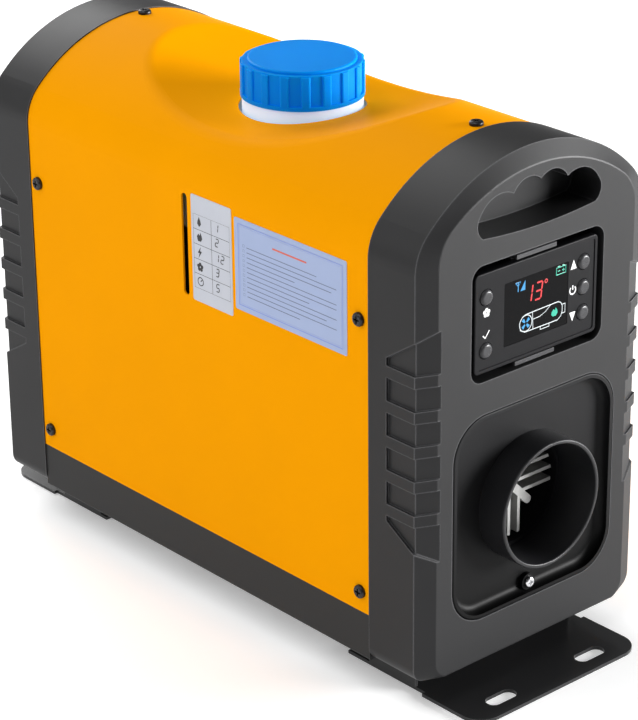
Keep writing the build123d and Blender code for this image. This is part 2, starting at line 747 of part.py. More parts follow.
def grip_recess():
    """Recess of the left grip with its ribs left standing."""
    side_x = COVER_HALF_W + CAP_PROUD - GRIP_DEPTH
    rear = -FACE_Y + GRIP_REAR
    knee = -FACE_Y + BEVEL_DEPTH
    front = -FACE_Y - 1.5
    with BuildPart() as recess:
        add(grip_band(side_x, FACE_HALF_W - GRIP_FACE_CUT, GRIP_LOW_FACE_Z - BEYOND,
                      GRIP_TOP_FACE_Z + BEYOND))
        with BuildSketch(Plane.YZ):
            with BuildLine():
                Polyline((rear, GRIP_LOW_REAR_Z), (rear, GRIP_TOP_REAR_Z), (knee, GRIP_TOP_BEVEL_Z),
                         (front, GRIP_TOP_FACE_Z), (front, GRIP_LOW_FACE_Z),
                         (knee, GRIP_LOW_BEVEL_Z), close=True)
            make_face()
        extrude(amount=2 * COVER_HALF_W, both=True, mode=Mode.INTERSECT)
        for n in range(RIB_COUNT):
            top = RIB_TOP_Z - n * RIB_PITCH
            with BuildSketch(Plane.XY.offset(top - RIB_H)):
                with Locations((-COVER_HALF_W, -FACE_Y + BEVEL_DEPTH)):
                    Rectangle(COVER_HALF_W, 2 * GRIP_REAR + BEYOND)
            extrude(amount=RIB_H, mode=Mode.SUBTRACT)
    return recess.part


def handle_outline(plane):
    """Finger hole: curved sill, round ends, four scallops above."""
    w = HANDLE_HALF_W
    z = HANDLE_LOW_Z
    with BuildSketch(plane) as outline:
        with BuildLine():
            ThreePointArc((-0.91 * w, z + 2.4), (0, z), (0.91 * w, z + 2.4))
            ThreePointArc((0.91 * w, z + 2.4), (w, z + 9.4), (0.955 * w, z + 15.6))
            ThreePointArc((0.955 * w, z + 15.6), (0.72 * w, z + 24.0), (0.435 * w, z + 22.2))
            ThreePointArc((0.435 * w, z + 22.2), (0.22 * w, z + 28.8), (0, z + 25.6))
            ThreePointArc((0, z + 25.6), (-0.22 * w, z + 28.8), (-0.435 * w, z + 22.2))
            ThreePointArc((-0.435 * w, z + 22.2), (-0.72 * w, z + 24.0), (-0.955 * w, z + 15.6))
            ThreePointArc((-0.955 * w, z + 15.6), (-w, z + 9.4), (-0.91 * w, z + 2.4))
        make_face()
    return outline.sketch


def end_shell():
    """Moulding shared by both ends, drawn for the front."""
    straight = CAP_DEPTH - BEVEL_DEPTH
    half_w = COVER_HALF_W + CAP_PROUD
    top = COVER_TOP + CAP_PROUD
    slip = COVER_T + SLIP
    with BuildPart() as shell:
        base = arch(upright(-SEAM_Y), half_w, BODY_LOW, top, ARCH_R + CAP_PROUD, SHOULDER_R, CAP_LOW_R)
        extrude(base, amount=straight)
        loft([arch(upright(-SEAM_Y - straight), half_w, BODY_LOW, top, ARCH_R + CAP_PROUD,
                   SHOULDER_R, CAP_LOW_R),
              arch(upright(-FACE_Y), FACE_HALF_W, BODY_LOW, FACE_TOP, FACE_R, FACE_SHOULDER_R,
                   FACE_LOW_R)])
        fillet(shell.faces().sort_by(Axis.Y)[0].edges(), BEVEL_SOFT_R)
        room = arch(upright(-SEAM_Y), half_w - CAP_WALL, FLOOR_Z, top - CAP_WALL,
                    ARCH_R + CAP_PROUD - CAP_WALL, SHOULDER_R - CAP_WALL, CAP_LOW_R - CAP_WALL)
        extrude(room, amount=straight - NOOK_SET, mode=Mode.SUBTRACT)
        nook = arch(upright(-SEAM_Y - straight + NOOK_SET), FACE_HALF_W - CAP_WALL, FLOOR_Z,
                    FACE_TOP - CAP_WALL, FACE_R - CAP_WALL, FACE_SHOULDER_R - CAP_WALL,
                    FACE_LOW_R - CAP_WALL)
        extrude(nook, amount=BEVEL_DEPTH + NOOK_SET - CAP_WALL, mode=Mode.SUBTRACT)
        spigot = arch(upright(-SEAM_Y + SPIGOT_LEN), COVER_HALF_W - slip, SPIGOT_LOW,
                      COVER_TOP - slip, ARCH_R - slip, SHOULDER_R - slip)
        extrude(spigot, amount=SPIGOT_LEN + SPIGOT_ROOT)
        slip += SPIGOT_T
        bore = arch(upright(-SEAM_Y + SPIGOT_LEN), COVER_HALF_W - slip, SPIGOT_LOW - 1,
                    COVER_TOP - slip, ARCH_R - slip, SHOULDER_R - slip)
        extrude(bore, amount=SPIGOT_LEN + SPIGOT_ROOT + 1, mode=Mode.SUBTRACT)
        with BuildSketch(upright(-FACE_Y + 1)):
            add(handle_outline(Plane.XY))
            offset(amount=HANDLE_WALL)
        extrude(amount=-HANDLE_DEPTH - HANDLE_WALL + 1)
        extrude(handle_outline(upright(-FACE_Y - 1)), amount=-HANDLE_DEPTH - 1, mode=Mode.SUBTRACT)
        recess = grip_recess()
        add(recess, mode=Mode.SUBTRACT)
        mirror(recess, about=Plane.YZ, mode=Mode.SUBTRACT)
        with Locations((CAP_SCREW_X, -CAP_SCREW_Y, BODY_LOW), (-CAP_SCREW_X, -CAP_SCREW_Y, BODY_LOW)):
            Cylinder(M4_R + THREAD_GAP, BEYOND, mode=Mode.SUBTRACT)
        with Locations(*cover_screw_places()):
            Cylinder(M4_R, 2 * (COVER_SHANK + SPIGOT_T), mode=Mode.SUBTRACT)
    return shell.part


def make_front_cap():
    with BuildPart() as front_cap:
        add(end_shell())
        tub = round_box(upright(-FACE_Y + 1, POCKET_Z), POCKET_W + 2 * POCKET_WALL,
                        POCKET_H + 2 * POCKET_WALL, POCKET_R + POCKET_WALL)
        extrude(tub, amount=-POCKET_DEPTH - POCKET_WALL + 1)
        pocket = round_box(upright(-FACE_Y - 1, POCKET_Z), POCKET_W, POCKET_H, POCKET_R)
        extrude(pocket, amount=-POCKET_DEPTH - 1, mode=Mode.SUBTRACT)
        with Locations((DATA_X, -FACE_Y + POCKET_DEPTH, DATA_Z)):
            Cylinder(CABLE_R + 1, BEYOND, rotation=(90, 0, 0), mode=Mode.SUBTRACT)
        opening = round_box(upright(-FACE_Y - 1, DUCT_Z), OPENING_W, OPENING_H, OPENING_R)
        extrude(opening, amount=-BEYOND, mode=Mode.SUBTRACT)
    front_cap.part.label = "front_cap"
    export_step(front_cap.part, "parts/front_cap.step")


def make_rear_cap():
    with BuildPart() as rear_cap:
        mirror(end_shell(), about=Plane.XZ)
        with Locations((0, FACE_Y, DUCT_Z)):
            Cylinder(GRILLE_HOLE_R, 2 * BEYOND, rotation=(90, 0, 0), mode=Mode.SUBTRACT)
        with Locations((SOCKET_X, FACE_Y, SOCKET_Z)):
            Cylinder(SOCKET_R + SOCKET_GAP, 2 * BEYOND, rotation=(90, 0, 0), mode=Mode.SUBTRACT)
    rear_cap.part.label = "rear_cap"
    export_step(rear_cap.part, "parts/rear_cap.step")


def mount_bracket(reach):
    """Folded bracket, drawn for the front."""
    edge = -FACE_Y - FLANGE_OUT
    with BuildPart() as bracket:
        with BuildSketch(Plane.XY) as flat:
            with Locations((0, (edge - FACE_Y + FLANGE_IN) / 2)):
                Rectangle(2 * FLANGE_HALF_W, FLANGE_OUT + FLANGE_IN)
            fillet(flat.vertices().group_by(Axis.Y)[0], FLANGE_R)
            with Locations((0, -FACE_Y + reach)):
                Rectangle(2 * PLATE_HALF_W, reach + SLOT_W, align=(Align.CENTER, Align.MAX))
            with Locations((SLOT_SPACING / 2, -FACE_Y - SLOT_OUT), (-SLOT_SPACING / 2, -FACE_Y - SLOT_OUT)):
                SlotOverall(SLOT_L, SLOT_W, mode=Mode.SUBTRACT)
        extrude(amount=PLATE_T)
        ear_len = EAR_TO - EAR_FROM
        ear_y = -FACE_Y + (EAR_FROM + EAR_TO) / 2
        for side in (-1, 1):
            with Locations((side * (PLATE_HALF_W - PLATE_T / 2), ear_y, 0)):
                Box(PLATE_T, ear_len, BODY_LOW, align=UP)
            with Locations((side * (PLATE_HALF_W - EAR_TAB_W / 2), ear_y, BODY_LOW - PLATE_T)):
                Box(EAR_TAB_W, ear_len, PLATE_T, align=UP)
        with Locations((EAR_SCREW_X, -EAR_SCREW_Y, BODY_LOW), (-EAR_SCREW_X, -EAR_SCREW_Y, BODY_LOW)):
            Cylinder(M6_R + THREAD_GAP, 4 * PLATE_T, mode=Mode.SUBTRACT)
    return bracket.part


def make_brackets():
    with BuildPart() as front_bracket:
        add(mount_bracket(PLATE_REACH_FRONT))
    front_bracket.part.label = "front_bracket"
    export_step(front_bracket.part, "parts/front_bracket.step")
    with BuildPart() as rear_bracket:
        mirror(mount_bracket(PLATE_REACH_REAR), about=Plane.XZ)
    rear_bracket.part.label = "rear_bracket"
    export_step(rear_bracket.part, "parts/rear_bracket.step")


def make_case_fasteners():
    with BuildPart() as cover_screws:
        with Locations(*cover_screw_places()):
            add(pan_screw(PAN_R, PAN_H, M4_R - THREAD_GAP, COVER_SHANK))
    cover_screws.part.label = "cover_screws"
    export_step(cover_screws.part, "parts/cover_screws.step")

    with BuildPart() as case_screws:
        for y in (-CAP_SCREW_Y, CAP_SCREW_Y):
            with Locations(Location((CAP_SCREW_X, y, BODY_LOW), (180, 0, 0)),
                           Location((-CAP_SCREW_X, y, BODY_LOW), (180, 0, 0))):
                add(pan_screw(PAN_R, PAN_LOW_H, M4_R - THREAD_GAP, CASE_SHANK))
        for y in (-CRADLE_LEG_Y, CRADLE_LEG_Y):
            with Locations((CRADLE_SCREW_X, y, FLOOR_Z + CRADLE_T), (-CRADLE_SCREW_X, y, FLOOR_Z + CRADLE_T)):
                add(pan_screw(PAN_R, PAN_LOW_H, M4_R - THREAD_GAP, CASE_SHANK))
    case_screws.part.label = "case_screws"
    export_step(case_screws.part, "parts/case_screws.step")

    with BuildPart() as hex_screws:
        for y in (-EAR_SCREW_Y, EAR_SCREW_Y):
            with Locations((EAR_SCREW_X, y, BODY_LOW - PLATE_T), (-EAR_SCREW_X, y, BODY_LOW - PLATE_T)):
                add(hex_screw(HEX_R, HEX_HEAD_H, M6_R - THREAD_GAP, HEX_SHANK))
        for y in FOOT_SCREW_YS:
            with Locations((FOOT_SCREW_X, y, BODY_LOW), (-FOOT_SCREW_X, y, BODY_LOW)):
                add(hex_screw(HEX_R, HEX_HEAD_H, M6_R - THREAD_GAP, HEX_SHANK))
    hex_screws.part.label = "hex_screws"
    export_step(hex_screws.part, "parts/hex_screws.step")

    with BuildPart() as bracket_nuts:
        for y in (-EAR_SCREW_Y, EAR_SCREW_Y):
            with BuildSketch(Plane.XY.offset(FLOOR_Z + TONGUE_T)):
                with Locations((EAR_SCREW_X, y), (-EAR_SCREW_X, y)):
                    RegularPolygon(HEX_R, 6)
                    Circle(M6_R, mode=Mode.SUBTRACT)
            extrude(amount=HEX_NUT_H)
    bracket_nuts.part.label = "bracket_nuts"
    export_step(bracket_nuts.part, "parts/bracket_nuts.step")


# --- duct outlet ------------------------------------------------------------

def make_duct_shroud():
    lip_front = -FACE_Y - SHROUD_PROUD
    floor = lip_front + SHROUD_DEPTH
    back = -FACE_Y + CAP_WALL
    lip_w = OPENING_W - 2 * SHROUD_GAP
    lip_h = OPENING_H - 2 * SHROUD_GAP
    lip_r = OPENING_R - SHROUD_GAP
    with BuildPart() as duct_shroud:
        extrude(round_box(upright(floor + SHROUD_FLOOR_T, DUCT_Z), lip_w, lip_h, lip_r),
                amount=SHROUD_DEPTH + SHROUD_FLOOR_T)
        fillet(duct_shroud.faces().sort_by(Axis.Y)[0].edges(), SHROUD_LIP_R)
        extrude(round_box(upright(floor + SHROUD_FLOOR_T, DUCT_Z), OPENING_W + 2 * SHROUD_EDGE,
                          OPENING_H + 2 * SHROUD_EDGE, OPENING_R + SHROUD_EDGE),
                amount=floor + SHROUD_FLOOR_T - back)
        with BuildPart(mode=Mode.PRIVATE) as dish:
            extrude(round_box(upright(floor, DUCT_Z), lip_w - 2 * SHROUD_LIP_W,
                              lip_h - 2 * SHROUD_LIP_W, lip_r - SHROUD_LIP_W), amount=SHROUD_DEPTH + 1)
            fillet(dish.faces().sort_by(Axis.Y)[-1].edges(), SHROUD_FLOOR_R)
        add(dish.part, mode=Mode.SUBTRACT)
        with Locations((0, floor + 1.0, COLLAR_SCREW_Z)):
            Cylinder(COLLAR_BOSS_R, COLLAR_BOSS_H + 1.0, rotation=(90, 0, 0), align=UP)
        with Locations((0, floor, DUCT_Z)):
            Cylinder(COLLAR_ROOT_R + SHROUD_GAP, BEYOND, rotation=(90, 0, 0), mode=Mode.SUBTRACT)
        with Locations((0, floor, COLLAR_SCREW_Z)):
            Cylinder(M4_R, 2 * BEYOND, rotation=(90, 0, 0), mode=Mode.SUBTRACT)
    duct_shroud.part.label = "duct_shroud"
    export_step(duct_shroud.part, "parts/duct_shroud.step")


def make_outlet_collar():
    seat = -FACE_Y - SHROUD_PROUD + SHROUD_DEPTH + SHROUD_FLOOR_T
    front = -FACE_Y - COLLAR_PROUD
    root = -FACE_Y - SHROUD_PROUD + SHROUD_DEPTH - COLLAR_ROOT_GAP
    with BuildPart() as outlet_collar:
        with BuildSketch(upright(seat + COLLAR_FLANGE_T, DUCT_Z)):
            Circle(COLLAR_FLANGE_R)
            with Locations((0, COLLAR_SCREW_Z - DUCT_Z)):
                Circle(COLLAR_EAR_R)
            with Locations((0, (COLLAR_SCREW_Z - DUCT_Z) / 2)):
                Rectangle(2 * COLLAR_EAR_R, DUCT_Z - COLLAR_SCREW_Z)
        extrude(amount=COLLAR_FLANGE_T)
        with BuildSketch(upright(-FACE_Y + COLLAR_REACH, DUCT_Z)):
            Circle(COLLAR_ROOT_R)
        extrude(amount=COLLAR_REACH + COLLAR_PROUD)
        with BuildSketch(upright(root, DUCT_Z)):
            Circle(COLLAR_R)
        extrude(amount=root - front)
        with Locations((0, -FACE_Y, DUCT_Z)):
            Cylinder(COLLAR_R - COLLAR_WALL, 3 * COLLAR_REACH, rotation=(90, 0, 0), mode=Mode.SUBTRACT)
        with Locations((0, seat, COLLAR_SCREW_Z)):
            Cylinder(M4_R, BEYOND, rotation=(90, 0, 0), mode=Mode.SUBTRACT)
        fillet(outlet_collar.faces().sort_by(Axis.Y)[0].edges(), COLLAR_EDGE_R)
    outlet_collar.part.label = "outlet_collar"
    export_step(outlet_collar.part, "parts/outlet_collar.step")

    with BuildPart() as collar_screw:
        boss = -FACE_Y - SHROUD_PROUD + SHROUD_DEPTH - COLLAR_BOSS_H
        with Locations(Location((0, boss, COLLAR_SCREW_Z), (90, 0, 0))):
            add(pan_screw(COLLAR_HEAD_R, COLLAR_HEAD_H, M4_R - THREAD_GAP, COLLAR_SHANK))
    collar_screw.part.label = "collar_screw"
    export_step(collar_screw.part, "parts/collar_screw.step")


# --- controller -------------------------------------------------------------

def make_controller_shell():
    with BuildPart() as controller_shell:
        extrude(round_box(upright(SHELL_BACK, CTRL_Z), SHELL_W, SHELL_H, CTRL_R), amount=SHELL_DEPTH)
        extrude(round_box(upright(SHELL_BACK - SHELL_T, CTRL_Z), SHELL_W - 2 * SHELL_T,
                          SHELL_H - 2 * SHELL_T, CTRL_R - SHELL_T), amount=SHELL_DEPTH, mode=Mode.SUBTRACT)
        with BuildSketch(upright(SHELL_BACK - SHELL_T, CTRL_Z)):
            with GridLocations(CTRL_W - 2 * POST_IN_X, CTRL_H - 2 * POST_IN_Z, 2, 2):
                Circle(POST_R)
        extrude(amount=SHELL_BACK - SHELL_T - PCB_FRONT - PCB_T)
        with Locations((DATA_X, SHELL_BACK, DATA_Z)):
            Cylinder(CABLE_R + CABLE_GAP, 4 * SHELL_T, rotation=(90, 0, 0), mode=Mode.SUBTRACT)
    controller_shell.part.label = "controller_shell"
    export_step(controller_shell.part, "parts/controller_shell.step")


def make_controller_bezel():
    with BuildPart() as controller_bezel:
        extrude(round_box(upright(BEZEL_BACK, CTRL_Z), CTRL_W, CTRL_H, CTRL_R), amount=BEZEL_T)
        fillet(controller_bezel.faces().sort_by(Axis.Y)[0].edges(), CTRL_EDGE_R)
        extrude(round_box(upright(BEZEL_BACK - BEZEL_T + CTRL_RIM_H, CTRL_Z), CTRL_W - 2 * CTRL_RIM,
                          CTRL_H - 2 * CTRL_RIM, CTRL_R - 1.0), amount=BEZEL_T, mode=Mode.SUBTRACT)
        extrude(round_box(upright(BEZEL_BACK + 1, CTRL_Z), WINDOW_W, WINDOW_H, WINDOW_R),
                amount=BEZEL_T + 2, mode=Mode.SUBTRACT)
        with BuildSketch(upright(BEZEL_BACK + 1)):
            with Locations(*BUTTONS.values()):
                Circle(BUTTON_R + BUTTON_GAP)
        extrude(amount=BEZEL_T + 2, mode=Mode.SUBTRACT)
    controller_bezel.part.label = "controller_bezel"
    export_step(controller_bezel.part, "parts/controller_bezel.step")


def make_display():
    front = BEZEL_BACK - BEZEL_T + LENS_SET
    with BuildPart() as display_lens:
        extrude(round_box(upright(BEZEL_BACK, CTRL_Z), WINDOW_W - 2 * WINDOW_GAP,
                          WINDOW_H - 2 * WINDOW_GAP, WINDOW_R - WINDOW_GAP), amount=BEZEL_BACK - front)
        extrude(round_box(upright(BEZEL_BACK + LENS_FLANGE_T, CTRL_Z), WINDOW_W + 2 * LENS_EDGE,
                          WINDOW_H + 2 * LENS_EDGE, LENS_EDGE), amount=LENS_FLANGE_T)
    display_lens.part.label = "display_lens"
    export_step(display_lens.part, "parts/display_lens.step")

    with BuildPart() as display_board:
        board_w = SHELL_W - 2 * (SHELL_T + PCB_SIDE)
        board_h = SHELL_H - 2 * (SHELL_T + PCB_SIDE)
        extrude(round_box(upright(PCB_FRONT + PCB_T, CTRL_Z), board_w, board_h, PCB_R), amount=PCB_T)
        extrude(round_box(upright(PCB_FRONT, CTRL_Z), WINDOW_W + 1, WINDOW_H + 1, WINDOW_R),
                amount=PCB_FRONT - BEZEL_BACK - LENS_FLANGE_T - PCB_GAP)
        with BuildSketch(upright(PCB_FRONT)):
            with Locations(*BUTTONS.values()):
                Rectangle(KEY_SIZE, KEY_SIZE)
        extrude(amount=KEY_H)
    display_board.part.label = "display_board"
    export_step(display_board.part, "parts/display_board.step")


def make_button(x, z):
    """Domed button with a retaining flange and a stem, drawn in place."""
    front = BEZEL_BACK - BEZEL_T - BUTTON_PROUD
    seat = BEZEL_BACK + BUTTON_SEAT
    tip = PCB_FRONT - KEY_H - BUTTON_TRAVEL - 0.1
    with BuildPart() as button:
        with BuildSketch(upright(seat)):
            with Locations((x, z)):
                Circle(BUTTON_R)
        extrude(amount=seat - front)
        fillet(button.edges().group_by(Axis.Y)[0], BUTTON_DOME_R)
        with BuildSketch(upright(seat + BUTTON_FLANGE_T)):
            with Locations((x, z)):
                Circle(BUTTON_FLANGE_R)
        extrude(amount=BUTTON_FLANGE_T + BUTTON_SEAT / 2)
        with BuildSketch(upright(tip)):
            with Locations((x, z)):
                Circle(BUTTON_STEM_R)
        extrude(amount=tip - seat)
    return button.part


def make_buttons():
    with BuildPart() as button_fan:
        add(make_button(*BUTTONS["button_fan"]))
    button_fan.part.label = "button_fan"
    export_step(button_fan.part, "parts/button_fan.step")
    with BuildPart() as button_ok:
        add(make_button(*BUTTONS["button_ok"]))
    button_ok.part.label = "button_ok"
    export_step(button_ok.part, "parts/button_ok.step")
    with BuildPart() as button_up:
        add(make_button(*BUTTONS["button_up"]))
    button_up.part.label = "button_up"
    export_step(button_up.part, "parts/button_up.step")
    with BuildPart() as button_power:
        add(make_button(*BUTTONS["button_power"]))
    button_power.part.label = "button_power"
    export_step(button_power.part, "parts/button_power.step")
    with BuildPart() as button_down:
        add(make_button(*BUTTONS["button_down"]))
    button_down.part.label = "button_down"
    export_step(button_down.part, "parts/button_down.step")


def make_controller_clips():
    near = CTRL_H / 2 + CLIP_OFF
    pocket_top = POCKET_Z + POCKET_H / 2 - CTRL_Z
    pocket_low = CTRL_Z - POCKET_Z + POCKET_H / 2
    with BuildPart() as controller_clips:
        for side, reach in ((1, pocket_top), (-1, pocket_low)):
            with BuildSketch(Plane.YZ.offset(-CLIP_HALF_W)):
                with BuildLine():
                    Polyline((-FACE_Y + CLIP_FRONT, CTRL_Z + side * near),
                             (-FACE_Y + CLIP_FRONT, CTRL_Z + side * (near + CLIP_NECK)),
                             (-FACE_Y + CLIP_KNEE, CTRL_Z + side * (reach - CLIP_GAP)),
                             (-FACE_Y + CLIP_REAR, CTRL_Z + side * (reach - CLIP_GAP)),
                             (-FACE_Y + CLIP_REAR, CTRL_Z + side * SHELL_H / 2),
                             (-FACE_Y + CLIP_TOE, CTRL_Z + side * SHELL_H / 2),
                             (-FACE_Y + CLIP_TOE - CLIP_BEND, CTRL_Z + side * near), close=True)
                make_face()
            extrude(amount=2 * CLIP_HALF_W)
    controller_clips.part.label = "controller_clips"
    export_step(controller_clips.part, "parts/controller_clips.step")


def make_labels():
    with BuildPart() as rating_label:
        with BuildSketch(Plane.YZ.offset(-COVER_HALF_W)):
            with Locations((RATING_Y, COVER_TOP - RATING_UNDER_TOP)):
                RectangleRounded(RATING_W, RATING_H, LABEL_R)
        extrude(amount=-LABEL_T)
    rating_label.part.label = "rating_label"
    export_step(rating_label.part, "parts/rating_label.step")
    with BuildPart() as notice_label:
        with BuildSketch(Plane.YZ.offset(-COVER_HALF_W)):
            with Locations((NOTICE_Y, COVER_TOP - NOTICE_UNDER_TOP)):
                RectangleRounded(NOTICE_W, NOTICE_H, LABEL_R)
        extrude(amount=-LABEL_T)
    notice_label.part.label = "notice_label"
    export_step(notice_label.part, "parts/notice_label.step")


# --- tank, filler, fuel parts -----------------------------------------------

def tank_form(inset):
    """Rounded tank volume."""
    with BuildPart() as form:
        with Locations((0, 0, TANK_LOW + inset)):
            Box(2 * (TANK_HALF_W - inset), 2 * (TANK_HALF_LEN - inset), TANK_TOP - TANK_LOW - 2 * inset,
                align=UP)
        fillet(form.edges().filter_by(Axis.Z), TANK_R - inset)
        fillet(form.edges().group_by(Axis.Z)[-1], TANK_TOP_R - inset)
        fillet(form.edges().group_by(Axis.Z)[0], TANK_LOW_R - inset)
    return form.part


def make_fuel_tank():
    with BuildPart() as fuel_tank:
        add(tank_form(0.0))
        with Locations((0, NECK_Y, TANK_TOP - TANK_T)):
            Cylinder(NECK_COLLAR_R, NECK_COLLAR_TOP - TANK_TOP + TANK_T, align=UP)
            Cylinder(NECK_R, NECK_TOP - TANK_TOP + TANK_T, align=UP)
        add(tank_form(TANK_T), mode=Mode.SUBTRACT)
        with Locations((0, NECK_Y, TANK_TOP)):
            Cylinder(NECK_BORE_R, 2 * (NECK_TOP - TANK_TOP) + BEYOND, mode=Mode.SUBTRACT)
        with Locations((FUEL_X, TANK_HALF_LEN, FUEL_Z)):
            Cylinder(OUTLET_STEM_R + THREAD_GAP, 4 * TANK_T, rotation=(90, 0, 0), mode=Mode.SUBTRACT)
    fuel_tank.part.label = "fuel_tank"
    export_step(fuel_tank.part, "parts/fuel_tank.step")


def make_filler_cap():
    ceiling = NECK_TOP + GASKET_T
    with BuildPart() as filler_cap:
        with Locations((0, NECK_Y, CAP_LOW_Z)):
            Cylinder(CAP_GROOVE_R, CAP_SIDE_TOP - CAP_LOW_Z, align=UP)
            Cylinder(CAP_R, CAP_RIM_H, align=UP)
            Cylinder(CAP_DISC_R, CAP_TOP_Z - CAP_LOW_Z, align=UP)
        fillet(filler_cap.edges().group_by(Axis.Z)[-1], CAP_TOP_R)
        with BuildSketch(Plane.XY.offset(CAP_LOW_Z)):
            with Locations((0, NECK_Y)):
                with PolarLocations(CAP_R - CAP_RIB_SET, CAP_RIBS, start_angle=CAP_RIB_TURN):
                    RectangleRounded(CAP_RIB_T, CAP_RIB_W, CAP_RIB_R)
        extrude(amount=CAP_SIDE_H - CAP_RIB_UNDER)
        with Locations((0, NECK_Y, CAP_LOW_Z)):
            Cylinder(CAP_INNER_R, ceiling - CAP_LOW_Z, align=UP, mode=Mode.SUBTRACT)
    filler_cap.part.label = "filler_cap"
    export_step(filler_cap.part, "parts/filler_cap.step")

    with BuildPart() as cap_gasket:
        with Locations((0, NECK_Y, NECK_TOP)):
            Cylinder(NECK_R - GASKET_GAP, GASKET_T, align=UP)
            Cylinder(NECK_BORE_R, GASKET_T, align=UP, mode=Mode.SUBTRACT)
    cap_gasket.part.label = "cap_gasket"
    export_step(cap_gasket.part, "parts/cap_gasket.step")


def make_tank_cradle():
    leg_x = CRADLE_HALF_W + CRADLE_T / 2
    with BuildPart() as tank_cradle:
        with Locations((0, 0, TANK_LOW - CRADLE_T)):
            Box(2 * CRADLE_HALF_W, 2 * (TANK_HALF_LEN + CRADLE_EDGE), CRADLE_T, align=UP)
        for y in (-1, 1):
            with Locations((0, y * (TANK_HALF_LEN + CRADLE_EDGE), TANK_LOW)):
                Box(2 * (CRADLE_HALF_W - CRADLE_STOP_SIDE), CRADLE_STOP_T, CRADLE_STOP_H,
                    align=(Align.CENTER, Align.MAX if y > 0 else Align.MIN, Align.MIN))
            for x in (-1, 1):
                with Locations((x * leg_x, y * CRADLE_LEG_Y, FLOOR_Z)):
                    Box(CRADLE_T, CRADLE_LEG_W, TANK_LOW - FLOOR_Z, align=UP)
                foot_x = CRADLE_HALF_W + CRADLE_FOOT_OVER - CRADLE_FOOT_W / 2
                with Locations((x * foot_x, y * CRADLE_LEG_Y, FLOOR_Z)):
                    Box(CRADLE_FOOT_W, CRADLE_LEG_W, CRADLE_T, align=UP)
                with Locations((x * CRADLE_SCREW_X, y * CRADLE_LEG_Y, FLOOR_Z)):
                    Cylinder(M4_R + THREAD_GAP, 4 * CRADLE_T, mode=Mode.SUBTRACT)
    tank_cradle.part.label = "tank_cradle"
    export_step(tank_cradle.part, "parts/tank_cradle.step")


def make_fuel_parts():
    with BuildPart() as tank_outlet:
        with BuildSketch(upright(TANK_HALF_LEN, FUEL_Z)):
            with Locations((FUEL_X, 0)):
                Circle(OUTLET_STEM_R)
        extrude(amount=2 * TANK_T)
        with BuildSketch(upright(TANK_HALF_LEN + OUTLET_HEX_H, FUEL_Z)):
            with Locations((FUEL_X, 0)):
                RegularPolygon(OUTLET_HEX_R, 6)
        extrude(amount=OUTLET_HEX_H)
        with BuildSketch(upright(TANK_HALF_LEN + OUTLET_L, FUEL_Z)):
            with Locations((FUEL_X, 0)):
                Circle(BARB_R)
        extrude(amount=OUTLET_L - TANK_T)
    tank_outlet.part.label = "tank_outlet"
    export_step(tank_outlet.part, "parts/tank_outlet.step")

    with BuildPart() as fuel_filter:
        with Locations(Location((FILTER_X, PUMP_Y, FUEL_Z), (0, 90, 0))):
            Cylinder(FILTER_R, FILTER_L)
            fillet(fuel_filter.edges(), FILTER_EDGE_R)
            Cylinder(BARB_R, FILTER_L + 2 * BARB_L)
    fuel_filter.part.label = "fuel_filter"
    export_step(fuel_filter.part, "parts/fuel_filter.step")

    with BuildPart() as fuel_pump:
        with Locations(Location((PUMP_X, PUMP_Y, FUEL_Z), (0, 90, 0))):
            Cylinder(PUMP_R, PUMP_L)
            fillet(fuel_pump.edges(), PUMP_EDGE_R)
            Cylinder(PUMP_NECK_R, PUMP_L + 2 * PUMP_NECK)
            Cylinder(BARB_R, PUMP_L + 2 * BARB_L)
    fuel_pump.part.label = "fuel_pump"
    export_step(fuel_pump.part, "parts/fuel_pump.step")

    inner_face = FACE_Y - CAP_WALL
    with BuildPart() as pump_clamp:
        with Locations((PUMP_X, inner_face - CLAMP_FOOT / 2, FUEL_Z)):
            Box(CLAMP_W, CLAMP_FOOT, CLAMP_FOOT_H)
        with Locations(Location((PUMP_X, PUMP_Y, FUEL_Z), (0, 90, 0))):
            Cylinder(PUMP_R + CLAMP_T, CLAMP_W)
            Cylinder(PUMP_R + CLAMP_GAP, 2 * CLAMP_W, mode=Mode.SUBTRACT)
    pump_clamp.part.label = "pump_clamp"
    export_step(pump_clamp.part, "parts/pump_clamp.step")


def make_fuel_lines():
    from_tank = (FUEL_X, TANK_HALF_LEN + OUTLET_L - HOSE_GRIP - BARB_L, FUEL_Z)
    pump_in = PUMP_X - PUMP_L / 2
    pump_out = PUMP_X + PUMP_L / 2
    with BuildLine() as first:
        FilletPolyline(from_tank, (FUEL_X, PUMP_Y, FUEL_Z), (FILTER_IN - HOSE_OFF_END, PUMP_Y, FUEL_Z),
                       radius=HOSE_BEND_R)
    with BuildLine() as second:
        Line((FILTER_OUT + HOSE_OFF_END, PUMP_Y, FUEL_Z), (pump_in - PUMP_NECK - HOSE_OFF_END, PUMP_Y, FUEL_Z))
    with BuildLine() as third:
        FilletPolyline((pump_out + PUMP_NECK + HOSE_OFF_END, PUMP_Y, FUEL_Z), (HOSE_X, PUMP_Y, FUEL_Z),
                       (HOSE_X, PUMP_Y, INLET_Z), (HOSE_X, PLUG_Y, INLET_Z),
                       (INLET_END - BARB_L, PLUG_Y, INLET_Z), radius=LINE_BEND_R)
    with BuildPart() as fuel_lines:
        add(swept_tube(first.line, HOSE_R, HOSE_BORE_R))
        add(swept_tube(second.line, HOSE_R, HOSE_BORE_R))
        add(swept_tube(third.line, HOSE_R, HOSE_BORE_R))
    fuel_lines.part.label = "fuel_lines"
    export_step(fuel_lines.part, "parts/fuel_lines.step")


# --- heater -----------------------------------------------------------------

